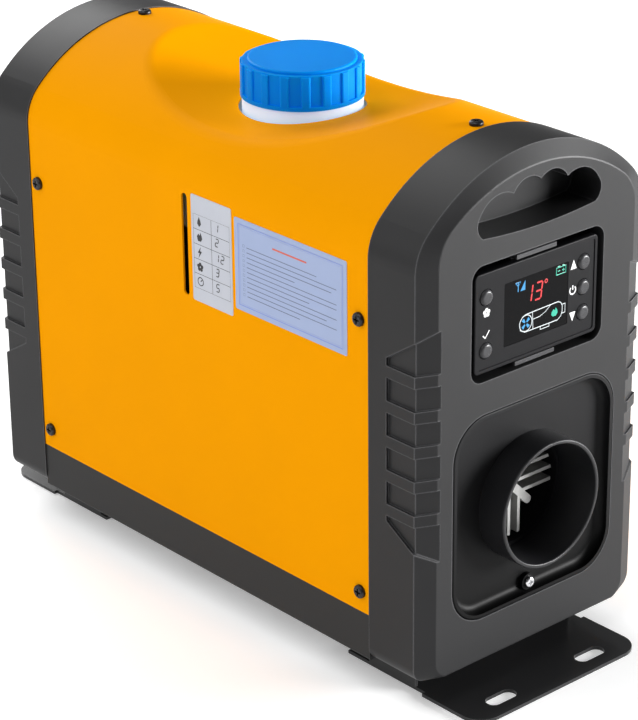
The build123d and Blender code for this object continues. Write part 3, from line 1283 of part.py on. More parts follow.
def casing_form():
    """Complete air jacket with its nose."""
    side = 2 * CASING_HALF
    inner = side - 2 * CASING_T
    length = CASING_REAR - CASING_FRONT
    with BuildPart() as form:
        extrude(round_box(upright(CASING_REAR, DUCT_Z), side, side, CASING_R), amount=length)
        fillet(form.faces().sort_by(Axis.Y)[0].edges(), CASING_NOSE_R)
        with BuildSketch(upright(CASING_REAR - RIM_END, DUCT_Z)):
            Rectangle(side + 2 * RIM_SIDE, RIM_H)
        extrude(amount=length - 2 * RIM_END)
        with BuildSketch(upright(CASING_FRONT + 1, DUCT_Z)):
            Circle(NOSE_R)
        extrude(amount=CASING_FRONT - NOSE_FRONT + 1)
        extrude(round_box(upright(CASING_REAR - CASING_T, DUCT_Z), inner, inner, CASING_R - CASING_T),
                amount=length - 2 * CASING_T, mode=Mode.SUBTRACT)
        with Locations((0, (CASING_FRONT + NOSE_FRONT) / 2, DUCT_Z)):
            Cylinder(NOSE_R - CASING_T, 2 * (CASING_FRONT - NOSE_FRONT), rotation=(90, 0, 0),
                     mode=Mode.SUBTRACT)
        with Locations((0, CASING_REAR, DUCT_Z)):
            Cylinder(PIPE_R - PIPE_T, 2 * BEYOND, rotation=(90, 0, 0), mode=Mode.SUBTRACT)
    return form.part


def make_casings():
    with BuildPart() as lower_casing:
        add(casing_form())
        with Locations((0, 0, DUCT_Z)):
            Box(BODY_LEN, 2 * BODY_LEN, BODY_LEN, align=UP, mode=Mode.SUBTRACT)
        with Locations((0, FOOT_Y, DUCT_Z - CASING_HALF)):
            Box(2 * (FOOT_HALF_W + FOOT_GAP), FOOT_REAR - FOOT_FRONT + 2 * FOOT_GAP, 2 * BEYOND,
                mode=Mode.SUBTRACT)
        with Locations((0, AIR_Y, DUCT_Z - CASING_HALF)):
            Cylinder(STUB_NECK_R + STUB_GAP, 2 * BEYOND, mode=Mode.SUBTRACT)
        with Locations((CASING_HALF, PLUG_Y, INLET_Z)):
            Cylinder(HOSE_R + HOSE_GAP, 2 * BEYOND, rotation=(0, 90, 0), mode=Mode.SUBTRACT)
    lower_casing.part.label = "lower_casing"
    export_step(lower_casing.part, "parts/lower_casing.step")

    with BuildPart() as upper_casing:
        add(casing_form())
        with Locations((0, 0, DUCT_Z)):
            Box(BODY_LEN, 2 * BODY_LEN, BODY_LEN, align=DOWN, mode=Mode.SUBTRACT)
        with BuildSketch(Plane.XY.offset(BOARD_Z + BOARD_T)):
            with Locations((0, BOARD_Y)):
                with GridLocations(BOARD_HOLES_X, BOARD_HOLES_Y, 2, 2):
                    Circle(BOARD_POST_R)
                    Circle(BOARD_SCREW_R + THREAD_GAP, mode=Mode.SUBTRACT)
        extrude(amount=CASING_TOP - CASING_T / 2 - BOARD_Z - BOARD_T)
        with Locations((*POWER_IN, CASING_TOP), (*DATA_IN, CASING_TOP)):
            Cylinder(CABLE_R + 1.0, 2 * BEYOND, mode=Mode.SUBTRACT)
    upper_casing.part.label = "upper_casing"
    export_step(upper_casing.part, "parts/upper_casing.step")


def make_heat_exchanger():
    core = 2 * CORE_HALF
    room = core - 2 * CORE_T
    length = CORE_REAR - CORE_FRONT
    diagonal = Plane(origin=(0, 0, 0), x_dir=(1, -1, 0), z_dir=(1, 1, 0))
    rib_mid = (NOSE_RIB_REACH - FIN_NOSE_R) / 2 / sqrt(2)
    with BuildPart() as heat_exchanger:
        with BuildSketch(upright(CORE_REAR - FIN_REAR_SET, DUCT_Z)):
            count = int(2 * CORE_HALF // FIN_PITCH)
            with GridLocations(FIN_PITCH, 0, count, 1):
                Rectangle(FIN_T, 2 * FIN_HALF)
            with GridLocations(0, FIN_PITCH, 1, count):
                Rectangle(2 * FIN_HALF, FIN_T)
        extrude(amount=CORE_REAR - FIN_REAR_SET - CORE_FRONT)
        with BuildSketch(upright(CORE_FRONT, DUCT_Z)):
            with Locations([(0, FIN_NOSE_PITCH * (row - 0.5)) for row in range(FIN_NOSE_ROWS)]):
                Rectangle(2 * FIN_NOSE_R, FIN_T)
            split(bisect_by=diagonal)
            mirror(about=diagonal)
            with Locations((rib_mid, -rib_mid)):
                SlotOverall(FIN_NOSE_R + NOSE_RIB_REACH, NOSE_RIB_T, rotation=-45)
            Circle(FIN_NOSE_R, mode=Mode.INTERSECT)
        extrude(amount=CORE_FRONT - FIN_FRONT)
        extrude(round_box(upright(CORE_REAR, DUCT_Z), core, core, CORE_R), amount=length)
        with Locations((0, FOOT_Y, FLOOR_Z + GASKET_PLATE_T)):
            Box(2 * FOOT_HALF_W, FOOT_REAR - FOOT_FRONT, DUCT_Z - CORE_HALF - FLOOR_Z, align=UP)
        with Locations((0, CORE_REAR, DUCT_Z)):
            Box(3 * CORE_HALF, 2 * CORE_HALF, 2 * FIN_HALF, align=(Align.CENTER, Align.MIN, Align.CENTER),
                mode=Mode.SUBTRACT)
        extrude(round_box(upright(CORE_REAR + 1, DUCT_Z), room, room, CORE_R - CORE_T),
                amount=length - CORE_T + 1, mode=Mode.SUBTRACT)
        with Locations((0, EXHAUST_Y, FLOOR_Z)):
            Cylinder(STUB_R - STUB_T, DUCT_Z - CORE_HALF / 2 - FLOOR_Z, align=UP, mode=Mode.SUBTRACT)
            Cylinder(STUB_NECK_R + THREAD_GAP, STUB_SOCKET, align=UP, mode=Mode.SUBTRACT)
        for y in FOOT_SCREW_YS:
            with Locations((FOOT_SCREW_X, y, FLOOR_Z), (-FOOT_SCREW_X, y, FLOOR_Z)):
                Cylinder(M6_R, HEX_SHANK + HEX_HEAD_H, align=UP, mode=Mode.SUBTRACT)
    heat_exchanger.part.label = "heat_exchanger"
    export_step(heat_exchanger.part, "parts/heat_exchanger.step")


def hose_stub(y, top):
    """Pipe through the tray: hose end below, shoulder under the tray, thinner neck above."""
    ring_top = BODY_LOW - STUB_RING_GAP
    with BuildPart() as stub:
        with Locations((0, y, STUB_LOW)):
            Cylinder(STUB_R, STUB_HOSE_L, align=UP)
        with Locations((0, y, STUB_HOSE_TOP)):
            Cylinder(STUB_RING_R, ring_top - STUB_HOSE_TOP, align=UP)
            Cylinder(STUB_NECK_R, top - STUB_HOSE_TOP, align=UP)
        with Locations((0, y, STUB_LOW)):
            Cylinder(STUB_R - STUB_T, top - STUB_LOW, align=UP, mode=Mode.SUBTRACT)
    return stub.part


def make_foot_parts():
    with BuildPart() as foot_gasket:
        with BuildSketch(Plane.XY.offset(FLOOR_Z)):
            with Locations((0, FOOT_Y)):
                RectangleRounded(2 * (FOOT_HALF_W + GASKET_EDGE), FOOT_REAR - FOOT_FRONT + 2 * GASKET_EDGE,
                                 GASKET_R)
            with Locations((0, EXHAUST_Y)):
                Circle(STUB_NECK_R + STUB_GAP, mode=Mode.SUBTRACT)
            for y in FOOT_SCREW_YS:
                with Locations((FOOT_SCREW_X, y), (-FOOT_SCREW_X, y)):
                    Circle(M6_R + THREAD_GAP, mode=Mode.SUBTRACT)
        extrude(amount=GASKET_PLATE_T)
    foot_gasket.part.label = "foot_gasket"
    export_step(foot_gasket.part, "parts/foot_gasket.step")

    with BuildPart() as exhaust_stub:
        add(hose_stub(EXHAUST_Y, FLOOR_Z + STUB_SOCKET - THREAD_GAP))
    exhaust_stub.part.label = "exhaust_stub"
    export_step(exhaust_stub.part, "parts/exhaust_stub.step")

    with BuildPart() as air_stub:
        add(hose_stub(AIR_Y, DUCT_Z - BLOWER_HALF))
        with Locations((0, AIR_Y, FLOOR_Z)):
            Cylinder(STUB_FLANGE_R, STUB_FLANGE_T, align=UP)
            Cylinder(STUB_R - STUB_T, STUB_FLANGE_T, align=UP, mode=Mode.SUBTRACT)
    air_stub.part.label = "air_stub"
    export_step(air_stub.part, "parts/air_stub.step")


def make_burner():
    with BuildPart(AXIS) as burner_tube:
        with Locations((0, 0, BURNER_FRONT)):
            Cylinder(BURNER_R, CORE_REAR - BURNER_FRONT, align=UP)
            Cylinder(BURNER_R - BURNER_T, CORE_REAR - BURNER_FRONT, align=UP, mode=Mode.SUBTRACT)
    burner_tube.part.label = "burner_tube"
    export_step(burner_tube.part, "parts/burner_tube.step")

    with BuildPart() as burner_head:
        extrude(round_box(upright(HEAD_REAR, DUCT_Z), 2 * CORE_HALF, 2 * CORE_HALF, CORE_R),
                amount=HEAD_REAR - CORE_REAR)
        with BuildSketch(upright(CORE_REAR + 1, DUCT_Z)):
            Circle(BURNER_R - BURNER_T - THREAD_GAP)
        extrude(amount=HEAD_SPIGOT + 1)
        with Locations((0, CORE_REAR, DUCT_Z)):
            Cylinder(HEAD_BORE_R, 3 * HEAD_REAR, rotation=(90, 0, 0), mode=Mode.SUBTRACT)
        with Locations((0, PLUG_Y, DUCT_Z)):
            Cylinder(PLUG_R + THREAD_GAP, 2 * CORE_HALF, align=UP, mode=Mode.SUBTRACT)
        with Locations((0, PLUG_Y, INLET_Z)):
            Cylinder(BARB_R + THREAD_GAP, 2 * CORE_HALF, rotation=(0, 90, 0), align=UP,
                     mode=Mode.SUBTRACT)
    burner_head.part.label = "burner_head"
    export_step(burner_head.part, "parts/burner_head.step")

    with BuildPart() as glow_plug:
        with BuildSketch(Plane.XY.offset(DUCT_Z + CORE_HALF)):
            with Locations((0, PLUG_Y)):
                RegularPolygon(PLUG_HEX_R, 6)
        extrude(amount=PLUG_HEX_H)
        with Locations((0, PLUG_Y, DUCT_Z + PLUG_ROOT)):
            Cylinder(PLUG_R, CORE_HALF - PLUG_ROOT, align=UP)
            Cylinder(PLUG_PIN_R, CORE_HALF - PLUG_ROOT + PLUG_PIN, align=UP)
    glow_plug.part.label = "glow_plug"
    export_step(glow_plug.part, "parts/glow_plug.step")

    with BuildPart() as fuel_inlet:
        with Locations(Location((CORE_HALF - INLET_IN, PLUG_Y, INLET_Z), (0, 90, 0))):
            Cylinder(BARB_R, INLET_IN + INLET_OUT, align=UP)
        with Locations(Location((CORE_HALF, PLUG_Y, INLET_Z), (0, 90, 0))):
            Cylinder(INLET_COLLAR_R, INLET_COLLAR_H, align=UP)
    fuel_inlet.part.label = "fuel_inlet"
    export_step(fuel_inlet.part, "parts/fuel_inlet.step")

    with BuildPart() as heat_sensor:
        with Locations((0, SENSOR_Y, DUCT_Z + CORE_HALF)):
            Cylinder(SENSOR_BASE_R, SENSOR_BASE_H, align=UP)
            Cylinder(SENSOR_R, SENSOR_H, align=UP)
    heat_sensor.part.label = "heat_sensor"
    export_step(heat_sensor.part, "parts/heat_sensor.step")


def make_blower():
    side = 2 * BLOWER_HALF
    with BuildPart() as blower_body:
        extrude(round_box(upright(BLOWER_REAR, DUCT_Z), side, side, BLOWER_R), amount=BLOWER_REAR - HEAD_REAR)
        with Locations((0, BLOWER_REAR, DUCT_Z)):
            Cylinder(BLOWER_CAVITY_R, 2 * (BLOWER_REAR - HEAD_REAR - BLOWER_WALL), rotation=(90, 0, 0),
                     mode=Mode.SUBTRACT)
            Cylinder(HEAD_BORE_R, 3 * (BLOWER_REAR - HEAD_REAR), rotation=(90, 0, 0), mode=Mode.SUBTRACT)
        with Locations((0, AIR_Y, DUCT_Z - BLOWER_HALF)):
            Cylinder(BLOWER_INLET_R, 3 * BEYOND, mode=Mode.SUBTRACT)
    blower_body.part.label = "blower_body"
    export_step(blower_body.part, "parts/blower_body.step")

    with BuildPart() as blower_plate:
        extrude(round_box(upright(PLATE_REAR, DUCT_Z), side, side, BLOWER_R), amount=PLATE_REAR - BLOWER_REAR)
        with Locations((0, PLATE_REAR, DUCT_Z)):
            Cylinder(SHAFT_R + SHAFT_HOLE_GAP, 2 * BEYOND, rotation=(90, 0, 0), mode=Mode.SUBTRACT)
    blower_plate.part.label = "blower_plate"
    export_step(blower_plate.part, "parts/blower_plate.step")


def make_motor():
    length = MOTOR_REAR - PLATE_REAR
    with BuildPart(AXIS) as motor_can:
        with Locations((0, 0, PLATE_REAR)):
            Cylinder(MOTOR_R, length, align=UP)
        with Locations((0, 0, PLATE_REAR + MOTOR_END_T)):
            Cylinder(MOTOR_R - MOTOR_T, length - 2 * MOTOR_END_T, align=UP, mode=Mode.SUBTRACT)
        Cylinder(BEARING_R, BODY_LEN, mode=Mode.SUBTRACT)
    motor_can.part.label = "motor_can"
    export_step(motor_can.part, "parts/motor_can.step")

    with BuildPart(AXIS) as motor_bearings:
        for y in (PLATE_REAR, MOTOR_REAR - MOTOR_END_T):
            with Locations((0, 0, y)):
                Cylinder(BEARING_R, MOTOR_END_T, align=UP)
        Cylinder(SHAFT_R + SHAFT_GAP, BODY_LEN, mode=Mode.SUBTRACT)
    motor_bearings.part.label = "motor_bearings"
    export_step(motor_bearings.part, "parts/motor_bearings.step")

    with BuildPart(AXIS) as motor_stator:
        with Locations((0, 0, PLATE_REAR + MOTOR_END_T + STATOR_END)):
            Cylinder(MOTOR_R - MOTOR_T, length - 2 * (MOTOR_END_T + STATOR_END), align=UP)
            Cylinder(MOTOR_R - MOTOR_T - STATOR_T, length, align=UP, mode=Mode.SUBTRACT)
    motor_stator.part.label = "motor_stator"
    export_step(motor_stator.part, "parts/motor_stator.step")

    with BuildPart(AXIS) as motor_rotor:
        with Locations((0, 0, IMPELLER_FRONT - SHAFT_OVER)):
            Cylinder(SHAFT_R, FAN_FRONT + FAN_H - IMPELLER_FRONT + SHAFT_OVER + FAN_SHAFT_OVER, align=UP)
        with Locations((0, 0, PLATE_REAR + MOTOR_END_T + STATOR_END + ARMATURE_GAP)):
            Cylinder(MOTOR_R - MOTOR_T - STATOR_T - ARMATURE_GAP,
                     length - 2 * (MOTOR_END_T + STATOR_END + ARMATURE_GAP), align=UP)
    motor_rotor.part.label = "motor_rotor"
    export_step(motor_rotor.part, "parts/motor_rotor.step")

    wheel_r = BLOWER_CAVITY_R - IMPELLER_GAP
    with BuildPart(AXIS) as combustion_impeller:
        with Locations((0, 0, IMPELLER_FRONT + IMPELLER_H)):
            Cylinder(wheel_r, IMPELLER_T, align=UP)
        with Locations((0, 0, IMPELLER_FRONT)):
            Cylinder(IMPELLER_HUB_R, IMPELLER_H + IMPELLER_T, align=UP)
        with BuildSketch(AXIS.offset(IMPELLER_FRONT)):
            with PolarLocations(wheel_r - IMPELLER_BLADE_SET, IMPELLER_BLADES):
                Rectangle(IMPELLER_BLADE, BLADE_T, rotation=IMPELLER_TURN)
        extrude(amount=IMPELLER_H + IMPELLER_T / 4)
        Cylinder(SHAFT_R, BODY_LEN, mode=Mode.SUBTRACT)
    combustion_impeller.part.label = "combustion_impeller"
    export_step(combustion_impeller.part, "parts/combustion_impeller.step")

    tip_r = PIPE_R - PIPE_T - FAN_GAP
    root_r = FAN_HUB_R - FAN_ROOT
    with BuildPart(AXIS) as circulation_fan:
        with Locations((0, 0, FAN_FRONT)):
            Cylinder(FAN_HUB_R, FAN_H, align=UP)
        with Locations((0, 0, FAN_FRONT + FAN_H / 2)):
            with PolarLocations((tip_r + root_r) / 2, FAN_BLADES):
                Box(tip_r - root_r, FAN_CHORD, BLADE_T, rotation=(FAN_TURN, 0, 0))
        Cylinder(SHAFT_R, BODY_LEN, mode=Mode.SUBTRACT)
    circulation_fan.part.label = "circulation_fan"
    export_step(circulation_fan.part, "parts/circulation_fan.step")


def make_electrics():
    with BuildPart() as control_board:
        with BuildSketch(Plane.XY.offset(BOARD_Z)):
            with Locations((0, BOARD_Y)):
                RectangleRounded(BOARD_W, BOARD_L, BOARD_R)
                with GridLocations(BOARD_HOLES_X, BOARD_HOLES_Y, 2, 2):
                    Circle(BOARD_SCREW_R + 2 * THREAD_GAP, mode=Mode.SUBTRACT)
        extrude(amount=BOARD_T)
        with Locations((*POWER_IN, BOARD_Z + BOARD_T), (*DATA_IN, BOARD_Z + BOARD_T)):
            Box(CABLE_PLUG_W, CABLE_PLUG_L, CABLE_PLUG_H, align=UP)
        with Locations((0, BOARD_Y + CHIP_OFF, BOARD_Z + BOARD_T)):
            Box(CHIP_SIZE, CHIP_SIZE, CHIP_H, align=UP)
        with Locations((RELAY_X, BOARD_Y + RELAY_OFF, BOARD_Z)):
            Box(RELAY_SIZE, RELAY_SIZE, CABLE_PLUG_H, align=DOWN)
    control_board.part.label = "control_board"
    export_step(control_board.part, "parts/control_board.step")

    with BuildPart() as board_screws:
        with Locations((0, BOARD_Y, BOARD_Z)):
            with GridLocations(BOARD_HOLES_X, BOARD_HOLES_Y, 2, 2):
                add(hex_screw(BOARD_HEX_R, BOARD_HEX_H, BOARD_SCREW_R, BOARD_SHANK))
    board_screws.part.label = "board_screws"
    export_step(board_screws.part, "parts/board_screws.step")

    with BuildPart() as power_socket:
        with BuildSketch(upright(FACE_Y + SOCKET_T, SOCKET_Z)):
            with Locations((SOCKET_X, 0)):
                RectangleRounded(SOCKET_PLATE, SOCKET_PLATE, SOCKET_PLATE_R)
        extrude(amount=SOCKET_T)
        with BuildSketch(upright(FACE_Y + SOCKET_T / 2, SOCKET_Z)):
            with Locations((SOCKET_X, 0)):
                Circle(SOCKET_R)
        extrude(amount=SOCKET_L)
        with BuildSketch(upright(FACE_Y + SOCKET_T, SOCKET_Z)):
            with Locations((SOCKET_X, 0)):
                Circle(SOCKET_CUP_R)
        extrude(amount=SOCKET_T / 2 + SOCKET_L - SOCKET_FLOOR, mode=Mode.SUBTRACT)
        with BuildSketch(upright(FACE_Y + SOCKET_T / 2, SOCKET_Z)):
            with Locations((SOCKET_X, 0)):
                with GridLocations(PIN_PITCH, 0, 2, 1):
                    Circle(PIN_R)
        extrude(amount=SOCKET_L - SOCKET_FLOOR / 2)
    power_socket.part.label = "power_socket"
    export_step(power_socket.part, "parts/power_socket.step")

    plug_top = BOARD_Z + BOARD_T + CABLE_PLUG_H + THREAD_GAP
    power_y = TANK_HALF_LEN + POWER_DROP
    with BuildLine() as feed:
        FilletPolyline((SOCKET_X, FACE_Y + SOCKET_T / 2 - SOCKET_L, SOCKET_Z), (SOCKET_X, power_y, SOCKET_Z),
                       (SOCKET_X, power_y, CABLE_Z), (SOCKET_X, POWER_IN[1], CABLE_Z),
                       (*POWER_IN, CABLE_Z), (*POWER_IN, plug_top), radius=CABLE_BEND_R)
    with BuildPart() as power_cable:
        add(swept_tube(feed.line, CABLE_R))
    power_cable.part.label = "power_cable"
    export_step(power_cable.part, "parts/power_cable.step")

    data_y = -TANK_HALF_LEN - DATA_DROP
    with BuildLine() as data:
        FilletPolyline((DATA_X, PCB_FRONT + PCB_T + THREAD_GAP, DATA_Z), (DATA_X, data_y, DATA_Z),
                       (DATA_X, data_y, CABLE_Z), (*DATA_IN, CABLE_Z), (*DATA_IN, plug_top),
                       radius=CABLE_BEND_R)
    with BuildPart() as display_cable:
        add(swept_tube(data.line, CABLE_R))
    display_cable.part.label = "display_cable"
    export_step(display_cable.part, "parts/display_cable.step")


def make_intake():
    with BuildPart() as intake_duct:
        with Locations((0, CASING_REAR, DUCT_Z)):
            Cylinder(PIPE_R + PIPE_FLANGE, PIPE_T, rotation=(-90, 0, 0), align=UP)
            Cylinder(PIPE_R, FACE_Y - CAP_WALL - CASING_REAR - PIPE_GAP, rotation=(-90, 0, 0), align=UP)
            Cylinder(PIPE_R - PIPE_T, BODY_LEN, rotation=(-90, 0, 0), mode=Mode.SUBTRACT)
    intake_duct.part.label = "intake_duct"
    export_step(intake_duct.part, "parts/intake_duct.step")

    with BuildPart() as rear_grille:
        with BuildSketch(upright(FACE_Y + GRILLE_T, DUCT_Z)):
            Circle(GRILLE_HOLE_R + GRILLE_RIM)
            Circle(GRILLE_HOLE_R - GRILLE_RIM, mode=Mode.SUBTRACT)
            for ring in range(int((GRILLE_HOLE_R - GRILLE_RIM) // GRILLE_PITCH), 0, -1):
                Circle(ring * GRILLE_PITCH)
                Circle(ring * GRILLE_PITCH - GRILLE_BAR, mode=Mode.SUBTRACT)
            Circle(GRILLE_HUB_R)
            spoke = GRILLE_HOLE_R - GRILLE_HUB_R + 1.0
            with PolarLocations(GRILLE_HUB_R - 2.0 + spoke / 2, GRILLE_SPOKES):
                Rectangle(spoke, GRILLE_BAR)
        extrude(amount=GRILLE_T)
        with BuildSketch(upright(FACE_Y + GRILLE_T / 2, DUCT_Z)):
            Circle(GRILLE_HOLE_R - GRILLE_GAP)
            Circle(GRILLE_HOLE_R - GRILLE_GAP - GRILLE_SLEEVE_T, mode=Mode.SUBTRACT)
        extrude(amount=CAP_WALL + GRILLE_T / 2)
    rear_grille.part.label = "rear_grille"
    export_step(rear_grille.part, "parts/rear_grille.step")


make_base_tray()
make_cover()
make_front_cap()
make_rear_cap()
make_brackets()
make_case_fasteners()
make_duct_shroud()
make_outlet_collar()
make_controller_shell()
make_controller_bezel()
make_display()
make_buttons()
make_controller_clips()
make_labels()
make_fuel_tank()
make_filler_cap()
make_tank_cradle()
make_fuel_parts()
make_fuel_lines()
make_casings()
make_heat_exchanger()
make_foot_parts()
make_burner()
make_blower()
make_motor()
make_electrics()
make_intake()
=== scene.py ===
# %% [markdown]
# # A diesel air heater in a carrying case
# The real heater is a burner, a blower and a small fuel tank in one box: a folded sheet
# cover between two moulded end caps, a screw cap on top and a duct collar in front.
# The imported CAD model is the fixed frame. It already holds every solid at its real size,
# so this lesson never moves it: it dresses those solids and adds what is printed,
# lit up or threaded.

# %% Load the frame
import math
import bpy
from mathutils import Euler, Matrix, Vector


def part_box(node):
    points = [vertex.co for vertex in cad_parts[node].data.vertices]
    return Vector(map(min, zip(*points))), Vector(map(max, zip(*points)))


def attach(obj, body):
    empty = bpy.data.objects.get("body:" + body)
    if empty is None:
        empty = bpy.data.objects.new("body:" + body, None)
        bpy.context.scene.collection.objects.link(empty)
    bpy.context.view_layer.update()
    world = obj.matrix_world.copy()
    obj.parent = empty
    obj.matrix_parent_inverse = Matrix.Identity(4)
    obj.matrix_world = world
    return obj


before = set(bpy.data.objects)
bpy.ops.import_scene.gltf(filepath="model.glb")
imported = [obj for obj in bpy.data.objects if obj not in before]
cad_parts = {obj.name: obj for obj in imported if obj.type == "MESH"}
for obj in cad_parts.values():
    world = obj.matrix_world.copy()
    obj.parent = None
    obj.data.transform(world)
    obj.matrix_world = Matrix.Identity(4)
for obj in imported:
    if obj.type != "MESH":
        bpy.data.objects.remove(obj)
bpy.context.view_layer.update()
MM = 0.001

# %% [markdown]
# ## The camera
# The picture was taken from the front left, about 1.6 metres away and looking
# down at 24 degrees. A lens of 137 mm gives that calm, nearly parallel perspective.
# The numbers come from lining up known corners of the case with the picture; a guess by
# eye would leave the proportions a little wrong everywhere.

# %% Place the camera
def add_camera(place, turn, lens):
    """A camera at a place in mm, turned by three angles in degrees."""
    data = bpy.data.cameras.new("photo_camera")
    data.lens = lens
    camera = bpy.data.objects.new("photo_camera", data)
    camera.location = [v * MM for v in place]
    camera.rotation_euler = Euler([math.radians(a) for a in turn])
    bpy.context.scene.collection.objects.link(camera)
    bpy.context.scene.camera = camera
    return camera


CAMERA_PLACE = (-980.52, -1132.25, 787.57)
CAMERA_TURN = (66.3067, 0.5799, -41.4891)
CAMERA_LENS = 136.9
camera = add_camera(CAMERA_PLACE, CAMERA_TURN, CAMERA_LENS)
print("camera height in mm", round(camera.location.z / MM))

# %% [markdown]
# ## Floor and light
# A plain pale floor carries the case. The front face is three times brighter than the
# left side, the top lies between, and the narrow bevel that faces the camera is the
# darkest: so the main light stands low and broad to the right in front, a weaker one on
# the left behind, a soft one hangs above, and one behind the case lights the arches of
# the roof. Nothing bright stands beside the camera.

# %% Floor, sky and lamps
def add_floor(size):
    """A flat square on the ground that isn't part of the object."""
    bpy.ops.mesh.primitive_plane_add(size=size, location=(0, 0, 0))
    floor = bpy.context.object
    floor.name = "floor"
    return floor


def add_lamp(name, place, aim, size, power):
    """A square soft box that looks at a point; places in metres."""
    data = bpy.data.lights.new(name, "AREA")
    data.shape = "SQUARE"
    data.size = size
    data.energy = power
    lamp = bpy.data.objects.new(name, data)
    lamp.location = place
    lamp.rotation_euler = (Vector(place) - Vector(aim)).to_track_quat("Z", "Y").to_euler()
    bpy.context.scene.collection.objects.link(lamp)
    return lamp


bpy.ops.object.select_all(action="DESELECT")
FLOOR_SIZE = 30
floor = add_floor(FLOOR_SIZE)
HEART = (0, 0, 0.16)
add_lamp("main_light", (3.0, -2.75, 0.35), HEART, size=2.0, power=520)
add_lamp("left_light", (-1.5, 1.1, 1.0), HEART, size=1.3, power=11)
add_lamp("top_light", (-0.9, -0.2, 1.7), HEART, size=1.2, power=13)
add_lamp("back_light", (0.4, 2.0, 1.4), HEART, size=1.5, power=36)

world = bpy.data.worlds.new("studio")
world.use_nodes = True
bpy.context.scene.world = world
sky = world.node_tree.nodes["Background"]
sky.inputs["Color"].default_value = (1, 1, 1, 1)
SKY_STRENGTH = 0.2
sky.inputs["Strength"].default_value = SKY_STRENGTH
bpy.context.scene.view_settings.view_transform = "Standard"

# %% [markdown]
# ## A small kit for finishes
# A finish is a tree of nodes. Written out one by one the nodes hide the idea, so a
# `Signal` wraps one output and turns plain sums into Math nodes, and a `Finish` adds
# every other node with one method. All patterns read Object coordinates in metres, so a
# grain of 0.4 mm really is 0.4 mm on every piece.

# %% Colours by their screen values
def paint(hex_code):
    """A colour given in screen values, as the linear values that a shader mixes."""
    channels = [int(hex_code[i:i + 2], 16) / 255 for i in (1, 3, 5)]
    linear = [c / 12.92 if c <= 0.04045 else ((c + 0.055) / 1.055) ** 2.4 for c in channels]
    return (*linear, 1)


def shade(colour, factor):
    """The same colour, lighter or darker."""
    return (*[min(1, c * factor) for c in colour[:3]], 1)


print("amber", [round(c, 3) for c in paint("#F59B00")])

# %% Signal and Finish
class Signal:
    """One output of a finish, so that 1 - mask * 0.2 reads as it is meant."""

    def __init__(self, finish, socket):
        self.finish = finish
        self.socket = socket

    def maths(self, operation, first, second):
        return self.finish.node("ShaderNodeMath", {"operation": operation}, {0: first, 1: second})

    def __add__(self, other):
        return self.maths("ADD", self, other)

    def __sub__(self, other):
        return self.maths("SUBTRACT", self, other)

    def __rsub__(self, other):
        return self.maths("SUBTRACT", other, self)

    def __mul__(self, other):
        return self.maths("MULTIPLY", self, other)

    __radd__ = __add__


class Finish:
    """One material that is being put together."""

    def __init__(self, name):
        self.material = bpy.data.materials.new(name)
        self.material.use_nodes = True
        self.tree = self.material.node_tree
        self.tree.nodes.clear()
        self.here = self.node("ShaderNodeTexCoord", out="Object")

    def node(self, kind, settings=None, sockets=None, out=0):
        """Adds a node, its settings first and then its values or links."""
        made = self.tree.nodes.new(kind)
        for name, value in (settings or {}).items():
            if name == "stops":
                self.set_stops(made.color_ramp, value)
            else:
                setattr(made, name, value)
        for name, value in (sockets or {}).items():
            if isinstance(value, Signal):
                self.tree.links.new(value.socket, made.inputs[name])
            else:
                made.inputs[name].default_value = value
        return Signal(self, made.outputs[out])

    def set_stops(self, ramp, stops):
        while len(ramp.elements) < len(stops):
            ramp.elements.new(0.5)
        for element, (place, value) in zip(ramp.elements, stops):
            element.position = place
            element.color = (value, value, value, 1)

    def stretched(self, stretch):
        """Object coordinates, squeezed before a pattern reads them."""
        return self.node("ShaderNodeMapping", {}, {"Vector": self.here, "Scale": stretch})

    def noise(self, size, detail, where=None, rough=0.5):
        """Soft patches of about this size in mm, from 0 to 1."""
        sockets = {"Vector": where or self.here, "Scale": 1 / (size * MM)}
        sockets.update({"Detail": detail, "Roughness": rough})
        return self.node("ShaderNodeTexNoise", {}, sockets)

    def between(self, signal, low, high):
        """0 below low, 1 above high and a ramp from one to the other."""
        settings = {"stops": [(low, 0.0), (high, 1.0)]}
        return self.node("ShaderNodeValToRGB", settings, {"Fac": signal})

    def height(self, low, high):
        """0 at the lower height and 1 at the upper one, in mm."""
        up = self.node("ShaderNodeSeparateXYZ", {}, {"Vector": self.here}, out="Z")
        return self.between(up * (1 / MM / (high - low)) - low / (high - low), 0.0, 1.0)

    def blend(self, first, second, share):
        """The first colour at share 0, the second at share 1."""
        return self.node("ShaderNodeMix", {"data_type": "RGBA"}, {0: share, 6: first, 7: second}, out=2)

    def relief(self, height, depth):
        """A bump of this depth in mm where height is 1."""
        sockets = {"Height": height, "Distance": depth * MM, "Strength": 1.0}
        return self.node("ShaderNodeBump", {}, sockets)

    def edge_mask(self, width):
        """1 on edges, 0 on the flats; width in mm. It marks worn paint, thin paint and lighter plastic
        edges that are partly a painted highlight.

        The two limits are 1 - cosine of 5 and of 23 degrees between the normals.
        """
        soft = self.node("ShaderNodeBevel", {"samples": 4}, {"Radius": width * MM})
        true = self.node("ShaderNodeNewGeometry", out="Normal")
        dot = {"operation": "DOT_PRODUCT"}
        alike = self.node("ShaderNodeVectorMath", dot, {0: soft, 1: true}, out="Value")
        return self.between(1 - alike, 0.004, 0.08)

    def surface(self, **sockets):
        """Closes the tree with the shader; words in names are joined by underscores."""
        named = {name.replace("_", " "): value for name, value in sockets.items()}
        shader = self.node("ShaderNodeBsdfPrincipled", {}, named)
        out = self.tree.nodes.new("ShaderNodeOutputMaterial")
        self.tree.links.new(shader.socket, out.inputs["Surface"])
        return self.material


print("finish kit ready")
